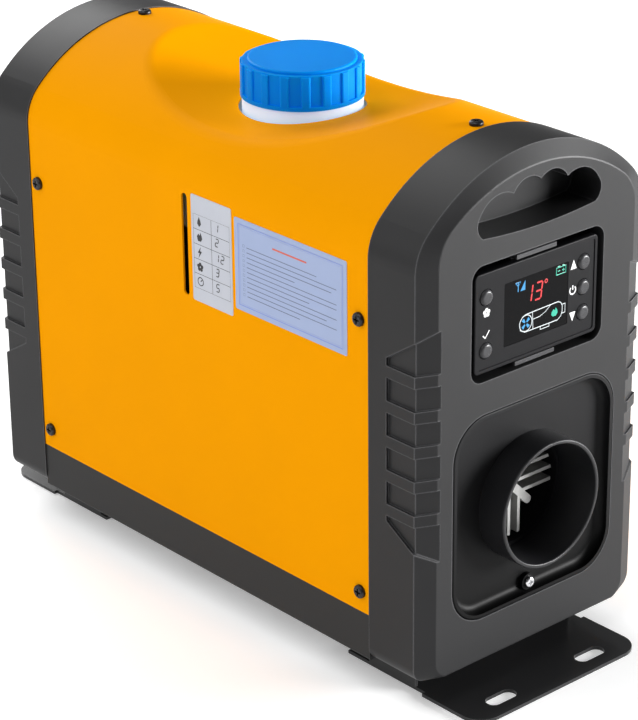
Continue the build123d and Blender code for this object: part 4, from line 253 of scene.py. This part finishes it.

# %% [markdown]
# ## Moulded plastic
# The end caps, the tray and the control panel are injection moulded. Their mould was
# spark eroded, which leaves a fine even grain, and the plastic flows in large, barely
# visible clouds. One helper makes them all, with other colours, grain and gloss.

# %% Plastic finishes
# painted shade: heights in mm where a moulded piece turns from its darkened foot to its own colour
PAINTED_SHADE_SPAN = (55, 155)


def moulded(name, colour, grain, depth, gloss, edge, shine=0.3, low=1.0, **more):
    """Moulded plastic: clouds in the colour, spark-eroded grain, lighter edges that are partly wear and
    partly a painted highlight, and a painted shade towards the bottom when low is below 1.
    """
    made = Finish(name)
    clouds = made.noise(38, 2)
    fine = made.noise(grain, 2)
    edge_mask = made.edge_mask(1.2)
    body = made.blend(shade(colour, 0.93), shade(colour, 1.08), clouds)
    # lighter edges: partly wear, partly a painted highlight; a large edge factor is mostly painted
    # highlight
    body = made.blend(body, shade(colour, edge), edge_mask * 0.8)
    # painted shade: with low below 1 the piece is darker towards the bottom
    if low < 1:
        body = made.blend(shade(colour, low), body, made.height(*PAINTED_SHADE_SPAN))
    normal = made.relief(fine, depth)
    rough = gloss - 0.06 + clouds * 0.08 + fine * 0.06
    return made.surface(
        Base_Color=body, Roughness=rough, Normal=normal, Specular_IOR_Level=shine, **more)


# the blue cap: real subsurface scattering, plus a faint painted glow from its own emission
BLUE_SCATTER_AND_PAINTED_GLOW = {
    "Subsurface_Weight": 0.45, "Subsurface_Radius": (0.003, 0.007, 0.014), "Subsurface_Scale": 1.0,
    "Emission_Color": paint("#0083E0"), "Emission_Strength": 0.04}
finishes = {
    # end caps: edge 7 paints bright highlight lines on the rib and rim edges
    "cap_plastic": moulded(
        "cap_plastic", paint("#202021"), grain=0.5, depth=0.03, gloss=0.45, edge=7, shine=0.22),
    "tray_plastic": moulded(
        "tray_plastic", paint("#262626"), grain=0.5, depth=0.03, gloss=0.5, edge=1.5, shine=0.2),
    # shroud: low 0.15 paints shade that darkens it towards the bottom
    "shroud_plastic": moulded(
        "shroud_plastic", paint("#1C1C1D"), grain=0.35, depth=0.012, gloss=0.45, edge=1.5, shine=0.1,
        low=0.15),
    "collar_plastic": moulded(
        "collar_plastic", paint("#1C1C1E"), grain=0.3, depth=0.008, gloss=0.38, edge=1.8),
    "black_plastic": moulded(
        "black_plastic", paint("#131315"), grain=0.3, depth=0.01, gloss=0.4, edge=1.6, shine=0.1),
    "button_plastic": moulded(
        "button_plastic", paint("#343436"), grain=0.3, depth=0.004, gloss=0.26, edge=1.2),
    "grey_plastic": moulded(
        "grey_plastic", paint("#363638"), grain=0.35, depth=0.01, gloss=0.4, edge=1.2),
    "blue_plastic": moulded(
        "blue_plastic", paint("#0080DA"), grain=0.6, depth=0.012, gloss=0.42, edge=1.15, shine=0.04,
        **BLUE_SCATTER_AND_PAINTED_GLOW),
    "fan_plastic": moulded(
        "fan_plastic", paint("#17181A"), grain=0.6, depth=0.02, gloss=0.45, edge=1.5),
    "cable": moulded("cable", paint("#151516"), grain=0.8, depth=0.01, gloss=0.42, edge=1.2),
}
print("plastics", len(finishes))

# %% [markdown]
# The filler neck and tank are blown from milky polyethylene, which light enters: a
# little subsurface scattering gives that. Seen through the level slot the wall is pale
# above the fuel and nearly black below it. A band of the neck gets a painted glow that
# stands in for light through the cap and the hollow neck. The filter's cup is clearer still.

# %% Milky plastics
FUEL_LEVEL = 231
NECK_PAINTED_GLOW = (279, 286)


def milky(name, colour, depth, through, wet, painted_glow_colour):
    """Blown polyethylene: waxy, cloudy, with shallow flow marks, darker where it is wet, and a painted
    glow in a band of the neck.
    """
    made = Finish(name)
    clouds = made.noise(24, 3)
    flow = made.noise(3, 2, made.stretched((1, 1, 0.25)))
    body = made.blend(shade(colour, 0.94), shade(colour, 1.04), clouds)
    body = made.blend(wet, body, made.height(FUEL_LEVEL - 1, FUEL_LEVEL + 1))
    # painted glow: an emission band on the neck stands in for light coming through the cap
    glow = made.blend(paint("#000000"), painted_glow_colour, made.height(*NECK_PAINTED_GLOW))
    rough = 0.36 + clouds * 0.12
    return made.surface(
        Base_Color=body, Roughness=rough, Normal=made.relief(flow, depth),
        Subsurface_Weight=0.5, Subsurface_Radius=(0.004, 0.006, 0.008), Subsurface_Scale=1.0,
        Transmission_Weight=through, Emission_Color=glow, Emission_Strength=0.4)


finishes["tank_plastic"] = milky(
    "tank_plastic", paint("#DAEAFF"), depth=0.05, through=0.0, wet=paint("#2C2A28"),
    painted_glow_colour=paint("#A2CEF6"))
finishes["filter_plastic"] = milky(
    "filter_plastic", paint("#DCD9C4"), depth=0.02, through=0.35, wet=paint("#C9BE9A"),
    painted_glow_colour=paint("#000000"))
print("milky plastics", 2)

# %% [markdown]
# ## Painted sheet
# The cover is steel sheet with amber powder paint. Powder melts into a skin with a faint
# orange peel about two millimetres across, and it lies thinner on edges. The brackets
# have the same paint in black, glossier and chipped a little at the edges.

# %% Paint finishes
def powder_paint(name, colour, peel, depth, gloss, edge_colour, coat, shine):
    """Powder paint: orange peel, slow clouds in tone and gloss, thin at the edges."""
    made = Finish(name)
    clouds = made.noise(60, 2)
    skin = made.noise(peel, 1.5)
    specks = made.between(made.noise(0.7, 1), 0.7, 0.78)
    body = made.blend(shade(colour, 0.97), shade(colour, 1.03), clouds)
    body = made.blend(body, shade(colour, 0.8), specks * 0.12)
    body = made.blend(body, edge_colour, made.edge_mask(0.35) * 0.55)
    rough = gloss - 0.04 + clouds * 0.08
    return made.surface(
        Base_Color=body, Roughness=rough, Normal=made.relief(skin, depth),
        Specular_IOR_Level=shine, Coat_Weight=coat, Coat_Roughness=0.12)


finishes["case_paint"] = powder_paint(
    "case_paint", paint("#F19C00"), peel=2.2, depth=0.02, gloss=0.45, edge_colour=paint("#D98200"),
    coat=0.0, shine=0.005)
finishes["black_steel"] = powder_paint(
    "black_steel", paint("#242425"), peel=1.8, depth=0.02, gloss=0.3, edge_colour=paint("#5A5A5C"),
    coat=0.35, shine=0.2)
print("paints", 2)

# %% [markdown]
# ## Metals
# Screws, nuts and the motor can are zinc plated, the burner is stainless steel with the
# straw tone that heat leaves, the exchanger and the blower are cast aluminium with a
# sandy skin, and the fuel fittings are brass. What differs is colour, grain and gloss.

# %% Metal finishes
def metal(name, colour, other, patch, grain, depth, gloss, metallic=1.0, stretch=(1, 1, 1)):
    """Bare metal: two tones in patches, a grain, and gloss that follows the patches."""
    made = Finish(name)
    tones = made.between(made.noise(patch, 3), 0.35, 0.65)
    skin = made.noise(grain, 2, made.stretched(stretch))
    body = made.blend(colour, other, tones)
    body = made.blend(body, shade(colour, 0.6), made.between(skin, 0.55, 0.8) * 0.35)
    rough = gloss - 0.05 + tones * 0.06 + skin * 0.08
    return made.surface(
        Base_Color=body, Roughness=rough, Metallic=metallic, Normal=made.relief(skin, depth))


DRAWN = (1, 1, 0.1)
finishes.update({
    "dark_screw": metal(
        "dark_screw", paint("#3C3C3E"), paint("#2A2A2C"), patch=3, grain=0.3, depth=0.008, gloss=0.33,
        metallic=0.85),
    "zinc": metal(
        "zinc", paint("#C9CACB"), paint("#B5B7BB"), patch=4, grain=0.5, depth=0.01, gloss=0.3),
    "chrome_screw": metal(
        "chrome_screw", paint("#E4E4E6"), paint("#D5D5D8"), patch=3, grain=0.4, depth=0.003, gloss=0.14),
    "brass": metal(
        "brass", paint("#C9A24B"), paint("#B98B3A"), patch=5, grain=0.4, depth=0.006, gloss=0.25),
    "stainless": metal(
        "stainless", paint("#B9B5AE"), paint("#A98F62"), patch=12, grain=0.4, depth=0.008, gloss=0.3,
        stretch=DRAWN),
    "cast_aluminium": metal(
        "cast_aluminium", paint("#C4C4C2"), paint("#AFAFAD"), patch=9, grain=0.7, depth=0.05, gloss=0.52,
        metallic=0.7),
    "magnet": metal(
        "magnet", paint("#4B4643"), paint("#3B3735"), patch=5, grain=0.5, depth=0.03, gloss=0.55,
        metallic=0.5),
})
print("metals", 7)

# %% [markdown]
# ## Rubber, gasket board and circuit boards
# Rubber is matt and greys a little where it is handled. Gasket board is pressed fibre.
# A circuit board is green lacquer over copper tracks: two sets of fine bands, one along
# and one across, broken by a coarse noise, look like tracks at this size.

# %% Soft and flat materials
def matt(name, colour, grain, depth, dust):
    """Rubber or pressed fibre: matt, grained, with a breath of dust."""
    made = Finish(name)
    skin = made.noise(grain, 4, rough=0.7)
    dusty = made.between(made.noise(11, 3), 0.45, 0.75)
    body = made.blend(shade(colour, 0.85), shade(colour, 1.15), skin)
    body = made.blend(body, dust, dusty * 0.18)
    return made.surface(Base_Color=body, Roughness=0.72 + skin * 0.15, Normal=made.relief(skin, depth))


TRACKS = 160


def circuit(name, lacquer, copper):
    """Green lacquer with the tracks showing through."""
    made = Finish(name)
    regions = made.between(made.noise(7, 1), 0.48, 0.52)
    waves = {"Vector": made.here, "Scale": TRACKS}
    first = made.node("ShaderNodeTexWave", {"bands_direction": "X"}, waves, out="Fac")
    second = made.node("ShaderNodeTexWave", {"bands_direction": "Y"}, waves, out="Fac")
    tracks = made.between(first * regions + second * (1 - regions), 0.6, 0.7)
    body = made.blend(lacquer, copper, tracks * 0.6)
    return made.surface(Base_Color=body, Roughness=0.3 + tracks * 0.1, Normal=made.relief(tracks, 0.03))


finishes["rubber"] = matt(
    "rubber", paint("#1B1B1C"), grain=0.8, depth=0.02, dust=paint("#6A6763"))
finishes["gasket_board"] = matt(
    "gasket_board", paint("#6D6A66"), grain=0.5, depth=0.06, dust=paint("#A09C95"))
finishes["circuit"] = circuit("circuit", paint("#0F4A2A"), paint("#3F8A4A"))
print("soft and flat materials", 3)

# %% [markdown]
# ## Sticker film and the display window
# The two stickers are plastic film with a dull varnish, so they get hardly any grain and
# a very slow ripple from the paint below. The window is smoked acrylic, black and glossy.

# %% Film and window finishes
def film(name, colour, gloss):
    """Sticker film over paint."""
    made = Finish(name)
    ripple = made.noise(14, 2)
    fibre = made.noise(0.4, 2)
    body = made.blend(shade(colour, 0.97), shade(colour, 1.03), ripple)
    return made.surface(Base_Color=body, Roughness=gloss + fibre * 0.08, Normal=made.relief(ripple, 0.03))


def smoked(name, colour):
    """Smoked acrylic with a few fine dust specks in its gloss."""
    made = Finish(name)
    specks = made.between(made.noise(0.9, 2), 0.68, 0.74)
    body = made.blend(colour, shade(colour, 3), specks * 0.3)
    return made.surface(Base_Color=body, Roughness=0.08 + specks * 0.2, Specular_IOR_Level=0.05)


finishes["label_film"] = film("label_film", paint("#BCC0CA"), 0.4)
finishes["notice_film"] = film("notice_film", paint("#9AAACE"), 0.34)
finishes["lens"] = smoked("lens", paint("#0C0C0D"))
print("film and window", 3)

# %% [markdown]
# ## Dressing the solids
# Every solid came with an empty material that bears the name of its finish. So dressing
# is only a swap by name, and a name without a finish shows up in the print.

# %% Dress the CAD nodes
def dress_nodes():
    """Gives every CAD node the finish that its slot names."""
    bare = []
    for name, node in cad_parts.items():
        for place in node.material_slots:
            wanted = place.material.name.split(".")[0]
            if wanted in finishes:
                place.material = finishes[wanted]
            else:
                bare.append((name, wanted))
    return bare


print("nodes without a finish", dress_nodes())

# %% [markdown]
# ## The floor's finish
# Studio paper is nearly white and quite matt. A little light of its own keeps it pale
# where the lamps don't reach, and the case still gets its soft shadow.

# %% Floor finish
def pale_floor(name):
    """Plain pale studio floor."""
    made = Finish(name)
    clouds = made.noise(700, 2)
    body = made.blend(paint("#F8F8F8"), paint("#FCFCFC"), clouds)
    return made.surface(
        Base_Color=body, Roughness=0.6 + clouds * 0.1, Specular_IOR_Level=0.1,
        Emission_Color=paint("#FFFFFF"), Emission_Strength=0.28)


floor.data.materials.append(pale_floor("pale_floor"))
print("floor dressed")

# %% [markdown]
# ## Print and light
# Symbols beside the keys, the lit figures in the window and the ruling of the stickers
# are ink or light a few hundredths of a millimetre thick. They could be painted into the
# material, but thin lines blur there. So each one is drawn flat, the way one draws by
# hand in edit mode: one point is extruded from corner to corner. A closed outline is
# filled, and an open line gets a round bevel and is pressed flat.

# %% Ink and light finishes
def ink(name, colour, gloss):
    """Printing ink, a little thinner here and there."""
    made = Finish(name)
    thin = made.noise(1.2, 2)
    body = made.blend(shade(colour, 0.9), shade(colour, 1.05), thin)
    return made.surface(Base_Color=body, Roughness=gloss + thin * 0.1)


def lit(name, colour, strength):
    """A lit figure: it glows evenly and shows nothing when it is off."""
    made = Finish(name)
    glow = made.blend(shade(colour, 0.85), colour, made.noise(2.5, 1))
    return made.surface(
        Base_Color=shade(colour, 0.2), Roughness=0.3,
        Emission_Color=glow, Emission_Strength=strength)


INKS = {
    "white": ink("white_ink", paint("#E6E6E6"), 0.45),
    "black": ink("black_ink", paint("#1E1E22"), 0.4),
    "grey": ink("grey_ink", paint("#5A6178"), 0.4),
    "violet": ink("violet_ink", paint("#7D90DA"), 0.4),
    "red": ink("red_ink", paint("#D8604A"), 0.4),
}
LIGHTS = {
    "white": lit("white_light", paint("#DDE6EA"), 0.95),
    "red": lit("red_light", paint("#E8242A"), 1.0),
    "blue": lit("blue_light", paint("#2F9FE0"), 0.9),
    "teal": lit("teal_light", paint("#1FC7A6"), 0.9),
}
print("inks", len(INKS), "lights", len(LIGHTS))

# %% Draw flat things
INK_THICK = 0.05
PRESSED = 0.15


def fresh(adder, **where):
    """Deselects everything, adds a primitive and opens it for editing."""
    bpy.ops.object.select_all(action="DESELECT")
    adder(**where)
    bpy.ops.object.mode_set(mode="EDIT")


def close_up():
    """Leaves edit mode with all faces pointing outwards."""
    bpy.ops.mesh.select_all(action="SELECT")
    bpy.ops.mesh.normals_make_consistent(inside=False)
    bpy.ops.object.mode_set(mode="OBJECT")
    return bpy.context.object


def trace(corners):
    """Extrudes one point from corner to corner; corners in mm on the flat."""
    fresh(bpy.ops.mesh.primitive_plane_add, size=MM, location=(0, 0, 0))
    bpy.ops.mesh.merge(type="CENTER")
    here = Vector((0, 0, 0))
    for number, (x, y) in enumerate(corners):
        there = Vector((x * MM, y * MM, 0))
        if number == 0:
            bpy.ops.transform.translate(value=there)
        else:
            bpy.ops.mesh.extrude_vertices_move(TRANSFORM_OT_translate={"value": there - here})
        here = there


def patch(corners):
    """A filled flat shape with these corners in mm."""
    trace(corners + corners[:1])
    bpy.ops.mesh.select_all(action="SELECT")
    bpy.ops.mesh.remove_doubles(threshold=1e-6)
    bpy.ops.mesh.edge_face_add()
    bpy.ops.mesh.extrude_region_move(TRANSFORM_OT_translate={"value": (0, 0, INK_THICK * MM)})
    return close_up()


def line(corners, width):
    """An open line of this width in mm, pressed to a flat ribbon."""
    trace(corners)
    bpy.ops.object.mode_set(mode="OBJECT")
    bpy.ops.object.convert(target="CURVE")
    drawn = bpy.context.object.data
    drawn.bevel_depth = width / 2 * MM
    drawn.bevel_resolution = 1
    drawn.use_fill_caps = True
    bpy.ops.object.convert(target="MESH")
    bpy.ops.object.mode_set(mode="EDIT")
    bpy.ops.mesh.select_all(action="SELECT")
    bpy.ops.transform.resize(value=(1, 1, PRESSED), center_override=(0, 0, 0))
    return close_up()


def disc(centre, radius, corners):
    """A filled round or many-sided spot."""
    fresh(bpy.ops.mesh.primitive_circle_add, vertices=corners, radius=radius * MM, fill_type="NGON",
          location=(centre[0] * MM, centre[1] * MM, 0))
    bpy.ops.mesh.extrude_region_move(TRANSFORM_OT_translate={"value": (0, 0, INK_THICK * MM)})
    return close_up()


def ring(centre, radius, width):
    """A printed ring."""
    fresh(bpy.ops.mesh.primitive_torus_add, major_radius=radius * MM, minor_radius=width / 2 * MM,
          major_segments=40, minor_segments=8, location=(centre[0] * MM, centre[1] * MM, 0))
    bpy.ops.mesh.select_all(action="SELECT")
    bpy.ops.transform.resize(value=(1, 1, PRESSED), center_override=(0, 0, 0))
    return close_up()


print("drawing kit ready")

# %% Hang a flat drawing on a face of the case
TO_FRONT = (math.radians(90), 0, 0)
TO_LEFT = (math.radians(90), 0, math.radians(-90))


def hang(name, parts, turn, place, finish):
    """Joins parts into one piece, turns it onto a face of the case and lets it ride there."""
    bpy.ops.object.select_all(action="DESELECT")
    for part in parts:
        part.select_set(True)
    bpy.context.view_layer.objects.active = parts[0]
    if len(parts) > 1:
        bpy.ops.object.join()
    piece = bpy.context.object
    bpy.ops.object.transform_apply(location=True, rotation=True, scale=True)
    piece.name = name
    piece.rotation_euler = turn
    piece.location = [v * MM for v in place]
    bpy.ops.object.transform_apply(location=True, rotation=True, scale=True)
    piece.data.materials.clear()
    piece.data.materials.append(finish)
    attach(piece, "case")
    print(name, "faces", len(piece.data.polygons))
    return piece


# %% [markdown]
# ## Symbols beside the keys
# The real panel says what each key does: a fan wheel, a confirm mark, up, down and the
# on-off sign. Plain signs that belong to nobody do the same here. They lie on the
# recessed face of the bezel, so the depth comes from the CAD bezel itself.

# %% Key symbols
PANEL_MIDDLE = 224.5
RECESS = 0.49
PANEL_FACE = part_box("controller_bezel")[0].y / MM + RECESS
print("panel face at y", round(PANEL_FACE, 2))


def fan_wheel(centre, reach):
    """A small wheel of five round blades."""
    spots = []
    for blade in range(5):
        angle = math.radians(90 + 72 * blade)
        where = (centre[0] + reach * 0.58 * math.cos(angle), centre[1] + reach * 0.58 * math.sin(angle))
        spots.append(disc(where, reach * 0.42, 12))
    return spots + [ring(centre, reach * 0.3, reach * 0.25)]


def power_sign(centre, radius, width):
    """An open ring with a bar in its gap."""
    gap = 84
    corners = []
    for step in range(17):
        angle = math.radians(90 + gap / 2 + step * (360 - gap) / 16)
        corners.append((centre[0] + radius * math.cos(angle), centre[1] + radius * math.sin(angle)))
    bar = [(centre[0], centre[1] + radius * 0.1), (centre[0], centre[1] + radius * 1.25)]
    return [line(corners, width), line(bar, width)]


key_symbols = fan_wheel((-37.5, 5.7), 2.7)
key_symbols.append(line([(-40.0, -7.0), (-38.3, -8.8), (-35.2, -4.9)], 0.75))
key_symbols.append(patch([(26.0, 12.6), (30.6, 12.6), (28.3, 18.0)]))
key_symbols.append(patch([(26.0, -12.6), (30.6, -12.6), (28.3, -18.0)]))
key_symbols += power_sign((28.1, 0.3), 2.3, 0.75)
hang("key_symbols", key_symbols, TO_FRONT, (0, PANEL_FACE, PANEL_MIDDLE), INKS["white"])

# %% [markdown]
# ## The lit window
# Behind the smoked window a display shows the room temperature in red segments, a mast
# with its wedge for the remote, a battery, and the heater itself as a line drawing with
# a blue fan. Every figure is a light of its own, so each has a finish that glows. They
# sit a hair in front of the window, because light behind black acrylic would need
# far more samples for the same look.

# %% Red figures
HAIR = 0.02
WINDOW_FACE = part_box("display_lens")[0].y / MM - HAIR
LEAN = 0.14


def segment(start, end, width):
    """The six corners of one bar of a figure, pointed at both ends."""
    first = Vector(start)
    last = Vector(end)
    along = (last - first).normalized() * width / 2
    across = Vector((-along.y, along.x))
    upper = [first, first + along + across, last - along + across]
    lower = [last, last - along - across, first + along - across]
    return upper + lower


SEGMENT_ENDS = {
    "top": ((0, 2), (1, 2)), "top_left": ((0, 1), (0, 2)), "top_right": ((1, 1), (1, 2)),
    "middle": ((0, 1), (1, 1)), "low_left": ((0, 0), (0, 1)), "low_right": ((1, 0), (1, 1)),
    "low": ((0, 0), (1, 0)),
}
FIGURES = {
    1: ["top_right", "low_right"],
    2: ["top", "top_right", "middle", "low_left", "low"],
    3: ["top", "top_right", "middle", "low_right", "low"],
    5: ["top", "top_left", "middle", "low_right", "low"],
}


def figure(number, corner, width, height, bar):
    """A number made of bars; it leans eight degrees to the right about its lower left corner."""
    bars = []
    for name in FIGURES[number]:
        ends = []
        for x, y in SEGMENT_ENDS[name]:
            ends.append((corner[0] + x * width, corner[1] + y * height / 2))
        (x0, y0), (x1, y1) = ends
        gap = bar * 0.12
        dx = gap if x1 > x0 else 0
        dy = gap if y1 > y0 else 0
        corners = segment((x0 + dx, y0 + dy), (x1 - dx, y1 - dy), bar)
        bars.append(patch([(p.x + (p.y - corner[1]) * LEAN, p.y) for p in corners]))
    return bars


red_figures = figure(1, (-8.4, 2.6), 4.4, 9.6, 1.0) + figure(3, (-1.2, 2.6), 4.6, 9.6, 1.0)
red_figures.append(ring((7.4, 11.4), 0.95, 0.6))
hang("display_figures", red_figures, TO_FRONT, (0, WINDOW_FACE, PANEL_MIDDLE), LIGHTS["red"])

# %% Mast, battery and line drawing
mast = [line([(-15.8, 16.2), (-13.9, 13.9), (-12.0, 16.2), (-15.8, 16.2)], 0.5),
        line([(-13.9, 16.2), (-13.9, 10.8)], 0.6),
        patch([(-12.2, 10.8), (-8.6, 10.8), (-8.6, 16.3)])]
hang("display_mast", mast, TO_FRONT, (0, WINDOW_FACE, PANEL_MIDDLE), LIGHTS["blue"])

battery = [line([(15.2, 12.4), (22.4, 12.4), (22.4, 16.4), (15.2, 16.4), (15.2, 12.3)], 0.5),
           line([(16.3, 16.9), (17.9, 16.9)], 0.8), line([(19.7, 16.9), (21.3, 16.9)], 0.8),
           line([(16.3, 14.4), (18.0, 14.4)], 0.5), line([(19.6, 14.4), (21.4, 14.4)], 0.5),
           line([(20.5, 13.5), (20.5, 15.3)], 0.5)]
hang("display_battery", battery, TO_FRONT, (0, WINDOW_FACE, PANEL_MIDDLE), LIGHTS["teal"])

WHEEL = (-7.6, -9.0)
drawing = [
    ring(WHEEL, 4.7, 0.5),
    line([(-7.6, -3.9), (-10.2, -4.8), (-12.4, -8.0), (-11.6, -12.2), (-8.2, -14.0), (16.8, -14.0),
          (19.4, -12.4), (20.4, -9.6), (20.4, -6.6), (19.2, -4.4), (17.0, -3.4), (-7.6, -3.9)], 0.5),
    line([(-2.6, -3.8), (-2.0, -14.0)], 0.4),
    line([(20.4, -5.8), (22.6, -5.8), (22.6, -11.0), (20.2, -11.0)], 0.5),
    line([(3.6, -14.0), (3.6, -15.8), (10.4, -15.8), (10.4, -14.0)], 0.5),
    line([(-2.2, -8.2), (3.0, -8.0), (7.4, -6.4), (11.4, -3.6)], 0.4),
]
hang("display_drawing", drawing, TO_FRONT, (0, WINDOW_FACE, PANEL_MIDDLE), LIGHTS["white"])

wheel = []
for blade in range(4):
    angle = math.radians(45 + 90 * blade)
    out = (math.cos(angle), math.sin(angle))
    side = (-out[1], out[0])
    corners = [(0.9, -0.5), (3.3, -1.1), (3.6, 0.9), (0.9, 0.5)]
    wheel.append(patch([(WHEEL[0] + r * out[0] + s * side[0], WHEEL[1] + r * out[1] + s * side[1])
                        for r, s in corners]))
hang("display_wheel", wheel, TO_FRONT, (0, WINDOW_FACE, PANEL_MIDDLE), LIGHTS["blue"])

flame = [patch([(13.2, -11.0), (15.6, -11.0), (16.8, -9.4), (16.4, -7.6), (15.2, -6.2), (14.9, -7.8),
                (13.6, -6.8), (12.2, -8.4), (12.0, -9.8)])]
hang("display_flame", flame, TO_FRONT, (0, WINDOW_FACE, PANEL_MIDDLE), LIGHTS["teal"])

# %% [markdown]
# ## Ruled stickers
# Both stickers are plain here: a ruled table with plain signs and numbers, and a ruled
# check list inside a double border. A wireframe modifier turns a flat grid into ruling:
# every edge of the grid becomes a thin bar. That gives all lines one width, which
# lines drawn one by one never quite have.

# %% Ruling from a grid
def ruling(columns, rows, width, height, stroke):
    """The lines of a table, as bars of one width."""
    fresh(bpy.ops.mesh.primitive_grid_add, x_subdivisions=columns, y_subdivisions=rows, size=MM,
          location=(0, 0, 0))
    bpy.ops.transform.resize(value=(width, height, 1), center_override=(0, 0, 0))
    bpy.ops.object.mode_set(mode="OBJECT")
    bpy.ops.object.modifier_add(type="WIREFRAME")
    bars = bpy.context.object.modifiers[0]
    bars.thickness = stroke * MM
    bars.use_even_offset = False
    bpy.ops.object.modifier_apply(modifier=bars.name)
    bpy.ops.object.mode_set(mode="EDIT")
    bpy.ops.mesh.select_all(action="SELECT")
    bpy.ops.transform.resize(value=(1, 1, PRESSED), center_override=(0, 0, 0))
    return close_up()


def shifted(piece, x, y):
    """The piece, moved on the flat by mm."""
    piece.location.x += x * MM
    piece.location.y += y * MM
    return piece


LEFT_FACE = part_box("rating_label")[0].x / MM - HAIR
RATING = (-20.9, 226.9)
NOTICE = (-87.4, 228.2)

# %% The ruled table
signs = [
    patch([(-12.2, 15.4), (-10.6, 13.6), (-8.9, 15.4), (-9.3, 17.0), (-10.6, 19.6), (-11.9, 17.0)]),
    patch([(-12.0, 5.0), (-9.4, 5.0), (-8.2, 6.8), (-8.8, 8.8), (-9.8, 10.4), (-10.2, 8.4), (-11.5, 9.4),
           (-12.8, 7.6)]),
    patch([(-9.6, 1.8), (-12.4, -2.2), (-10.8, -2.2), (-11.8, -5.4), (-8.8, -0.9), (-10.4, -0.9)]),
] + fan_wheel((-10.6, -10.6), 2.8) + [
    ring((-10.6, -19.4), 2.4, 0.6), line([(-10.6, -19.4), (-9.0, -17.9)], 0.6)]
numbers = []
for text, y in (((1,), 14.8), ((2,), 6.0), ((1, 2), -3.0), ((3,), -12.0), ((5,), -21.2)):
    for place, number in enumerate(text):
        numbers += figure(number, (3.2 + 4.6 * place, y), 2.4, 4.6, 0.6)
table = shifted(ruling(2, 5, 31.6, 44.6, 0.42), 0, -1.6)
hang("rating_print", [table] + signs + numbers, TO_LEFT, (LEFT_FACE, RATING[0], RATING[1]), INKS["black"])

# %% The ruled check list
outer = ruling(1, 1, 86.4, 48.4, 1.1)
inner = ruling(1, 1, 84.0, 46.0, 0.3)
hang("notice_border", [outer, inner], TO_LEFT, (LEFT_FACE, NOTICE[0], NOTICE[1]), INKS["violet"])

LENGTHS = [58, 74, 70, 40, 74, 74, 52, 74, 66, 74, 44]
FIRST_RULE = 11.5
RULE_STEP = 2.9
rules = []
for number, length in enumerate(LENGTHS):
    y = FIRST_RULE - RULE_STEP * number
    rules.append(line([(-36, y), (-36 + length, y)], 0.4))
    rules.append(shifted(ruling(1, 1, 1.5, 1.5, 0.3), -38.6, y + 0.5))
hang("notice_rules", rules, TO_LEFT, (LEFT_FACE, NOTICE[0], NOTICE[1]), INKS["grey"])
hang("notice_head", [line([(-14, 17.2), (14, 17.2)], 1.0)], TO_LEFT,
     (LEFT_FACE, NOTICE[0], NOTICE[1]), INKS["red"])

# %% [markdown]
# ## Filler thread
# The CAD neck is plain, because its thread is the coupling of cap turn and cap lift. The
# visual gets the ridge: a small flat-topped profile, screwed round the neck two times with
# the 6 mm lead of that coupling. It stands 0.3 mm proud, inside the cap's bore.

# %% Screw a ridge round the neck
NECK_RADIUS = 31.2
THREAD_START = (-2.0, 299.6)
THREAD_LEAD = 6.0
THREAD_SUNK = 0.4


def neck_thread(turns, proud, foot, tip):
    """A helical ridge sunk into the neck's wall; foot and tip are its heights in mm."""
    fresh(bpy.ops.mesh.primitive_plane_add, size=MM, location=(0, 0, 0), rotation=(math.radians(90), 0, 0))
    bpy.ops.transform.resize(value=(proud + THREAD_SUNK, 1, foot), center_override=(0, 0, 0))
    middle = NECK_RADIUS + (proud - THREAD_SUNK) / 2
    bpy.ops.transform.translate(value=(middle * MM, 0, 0))
    ridge = bpy.context.object
    bpy.ops.mesh.select_all(action="DESELECT")
    bpy.ops.object.mode_set(mode="OBJECT")
    for corner in ridge.data.vertices:
        corner.select = corner.co.x > NECK_RADIUS * MM
    bpy.ops.object.mode_set(mode="EDIT")
    bpy.ops.transform.resize(value=(1, 1, tip / foot), center_override=(0, 0, 0))
    bpy.ops.mesh.select_all(action="SELECT")
    bpy.ops.mesh.delete(type="ONLY_FACE")
    bpy.ops.object.mode_set(mode="OBJECT")
    bpy.ops.object.modifier_add(type="SCREW")
    screw = ridge.modifiers[0]
    screw.axis = "Y"
    screw.angle = math.radians(360)
    screw.iterations = turns
    screw.screw_offset = THREAD_LEAD * MM
    screw.steps = 96
    bpy.ops.object.modifier_apply(modifier=screw.name)
    bpy.ops.object.mode_set(mode="EDIT")
    bpy.ops.mesh.select_all(action="DESELECT")
    bpy.ops.mesh.select_non_manifold()
    bpy.ops.mesh.fill_holes(sides=4)
    return close_up()


thread = neck_thread(2, 0.3, 1.8, 0.8)
hang("neck_thread", [thread], (0, 0, 0), (0, *THREAD_START), finishes["tank_plastic"])
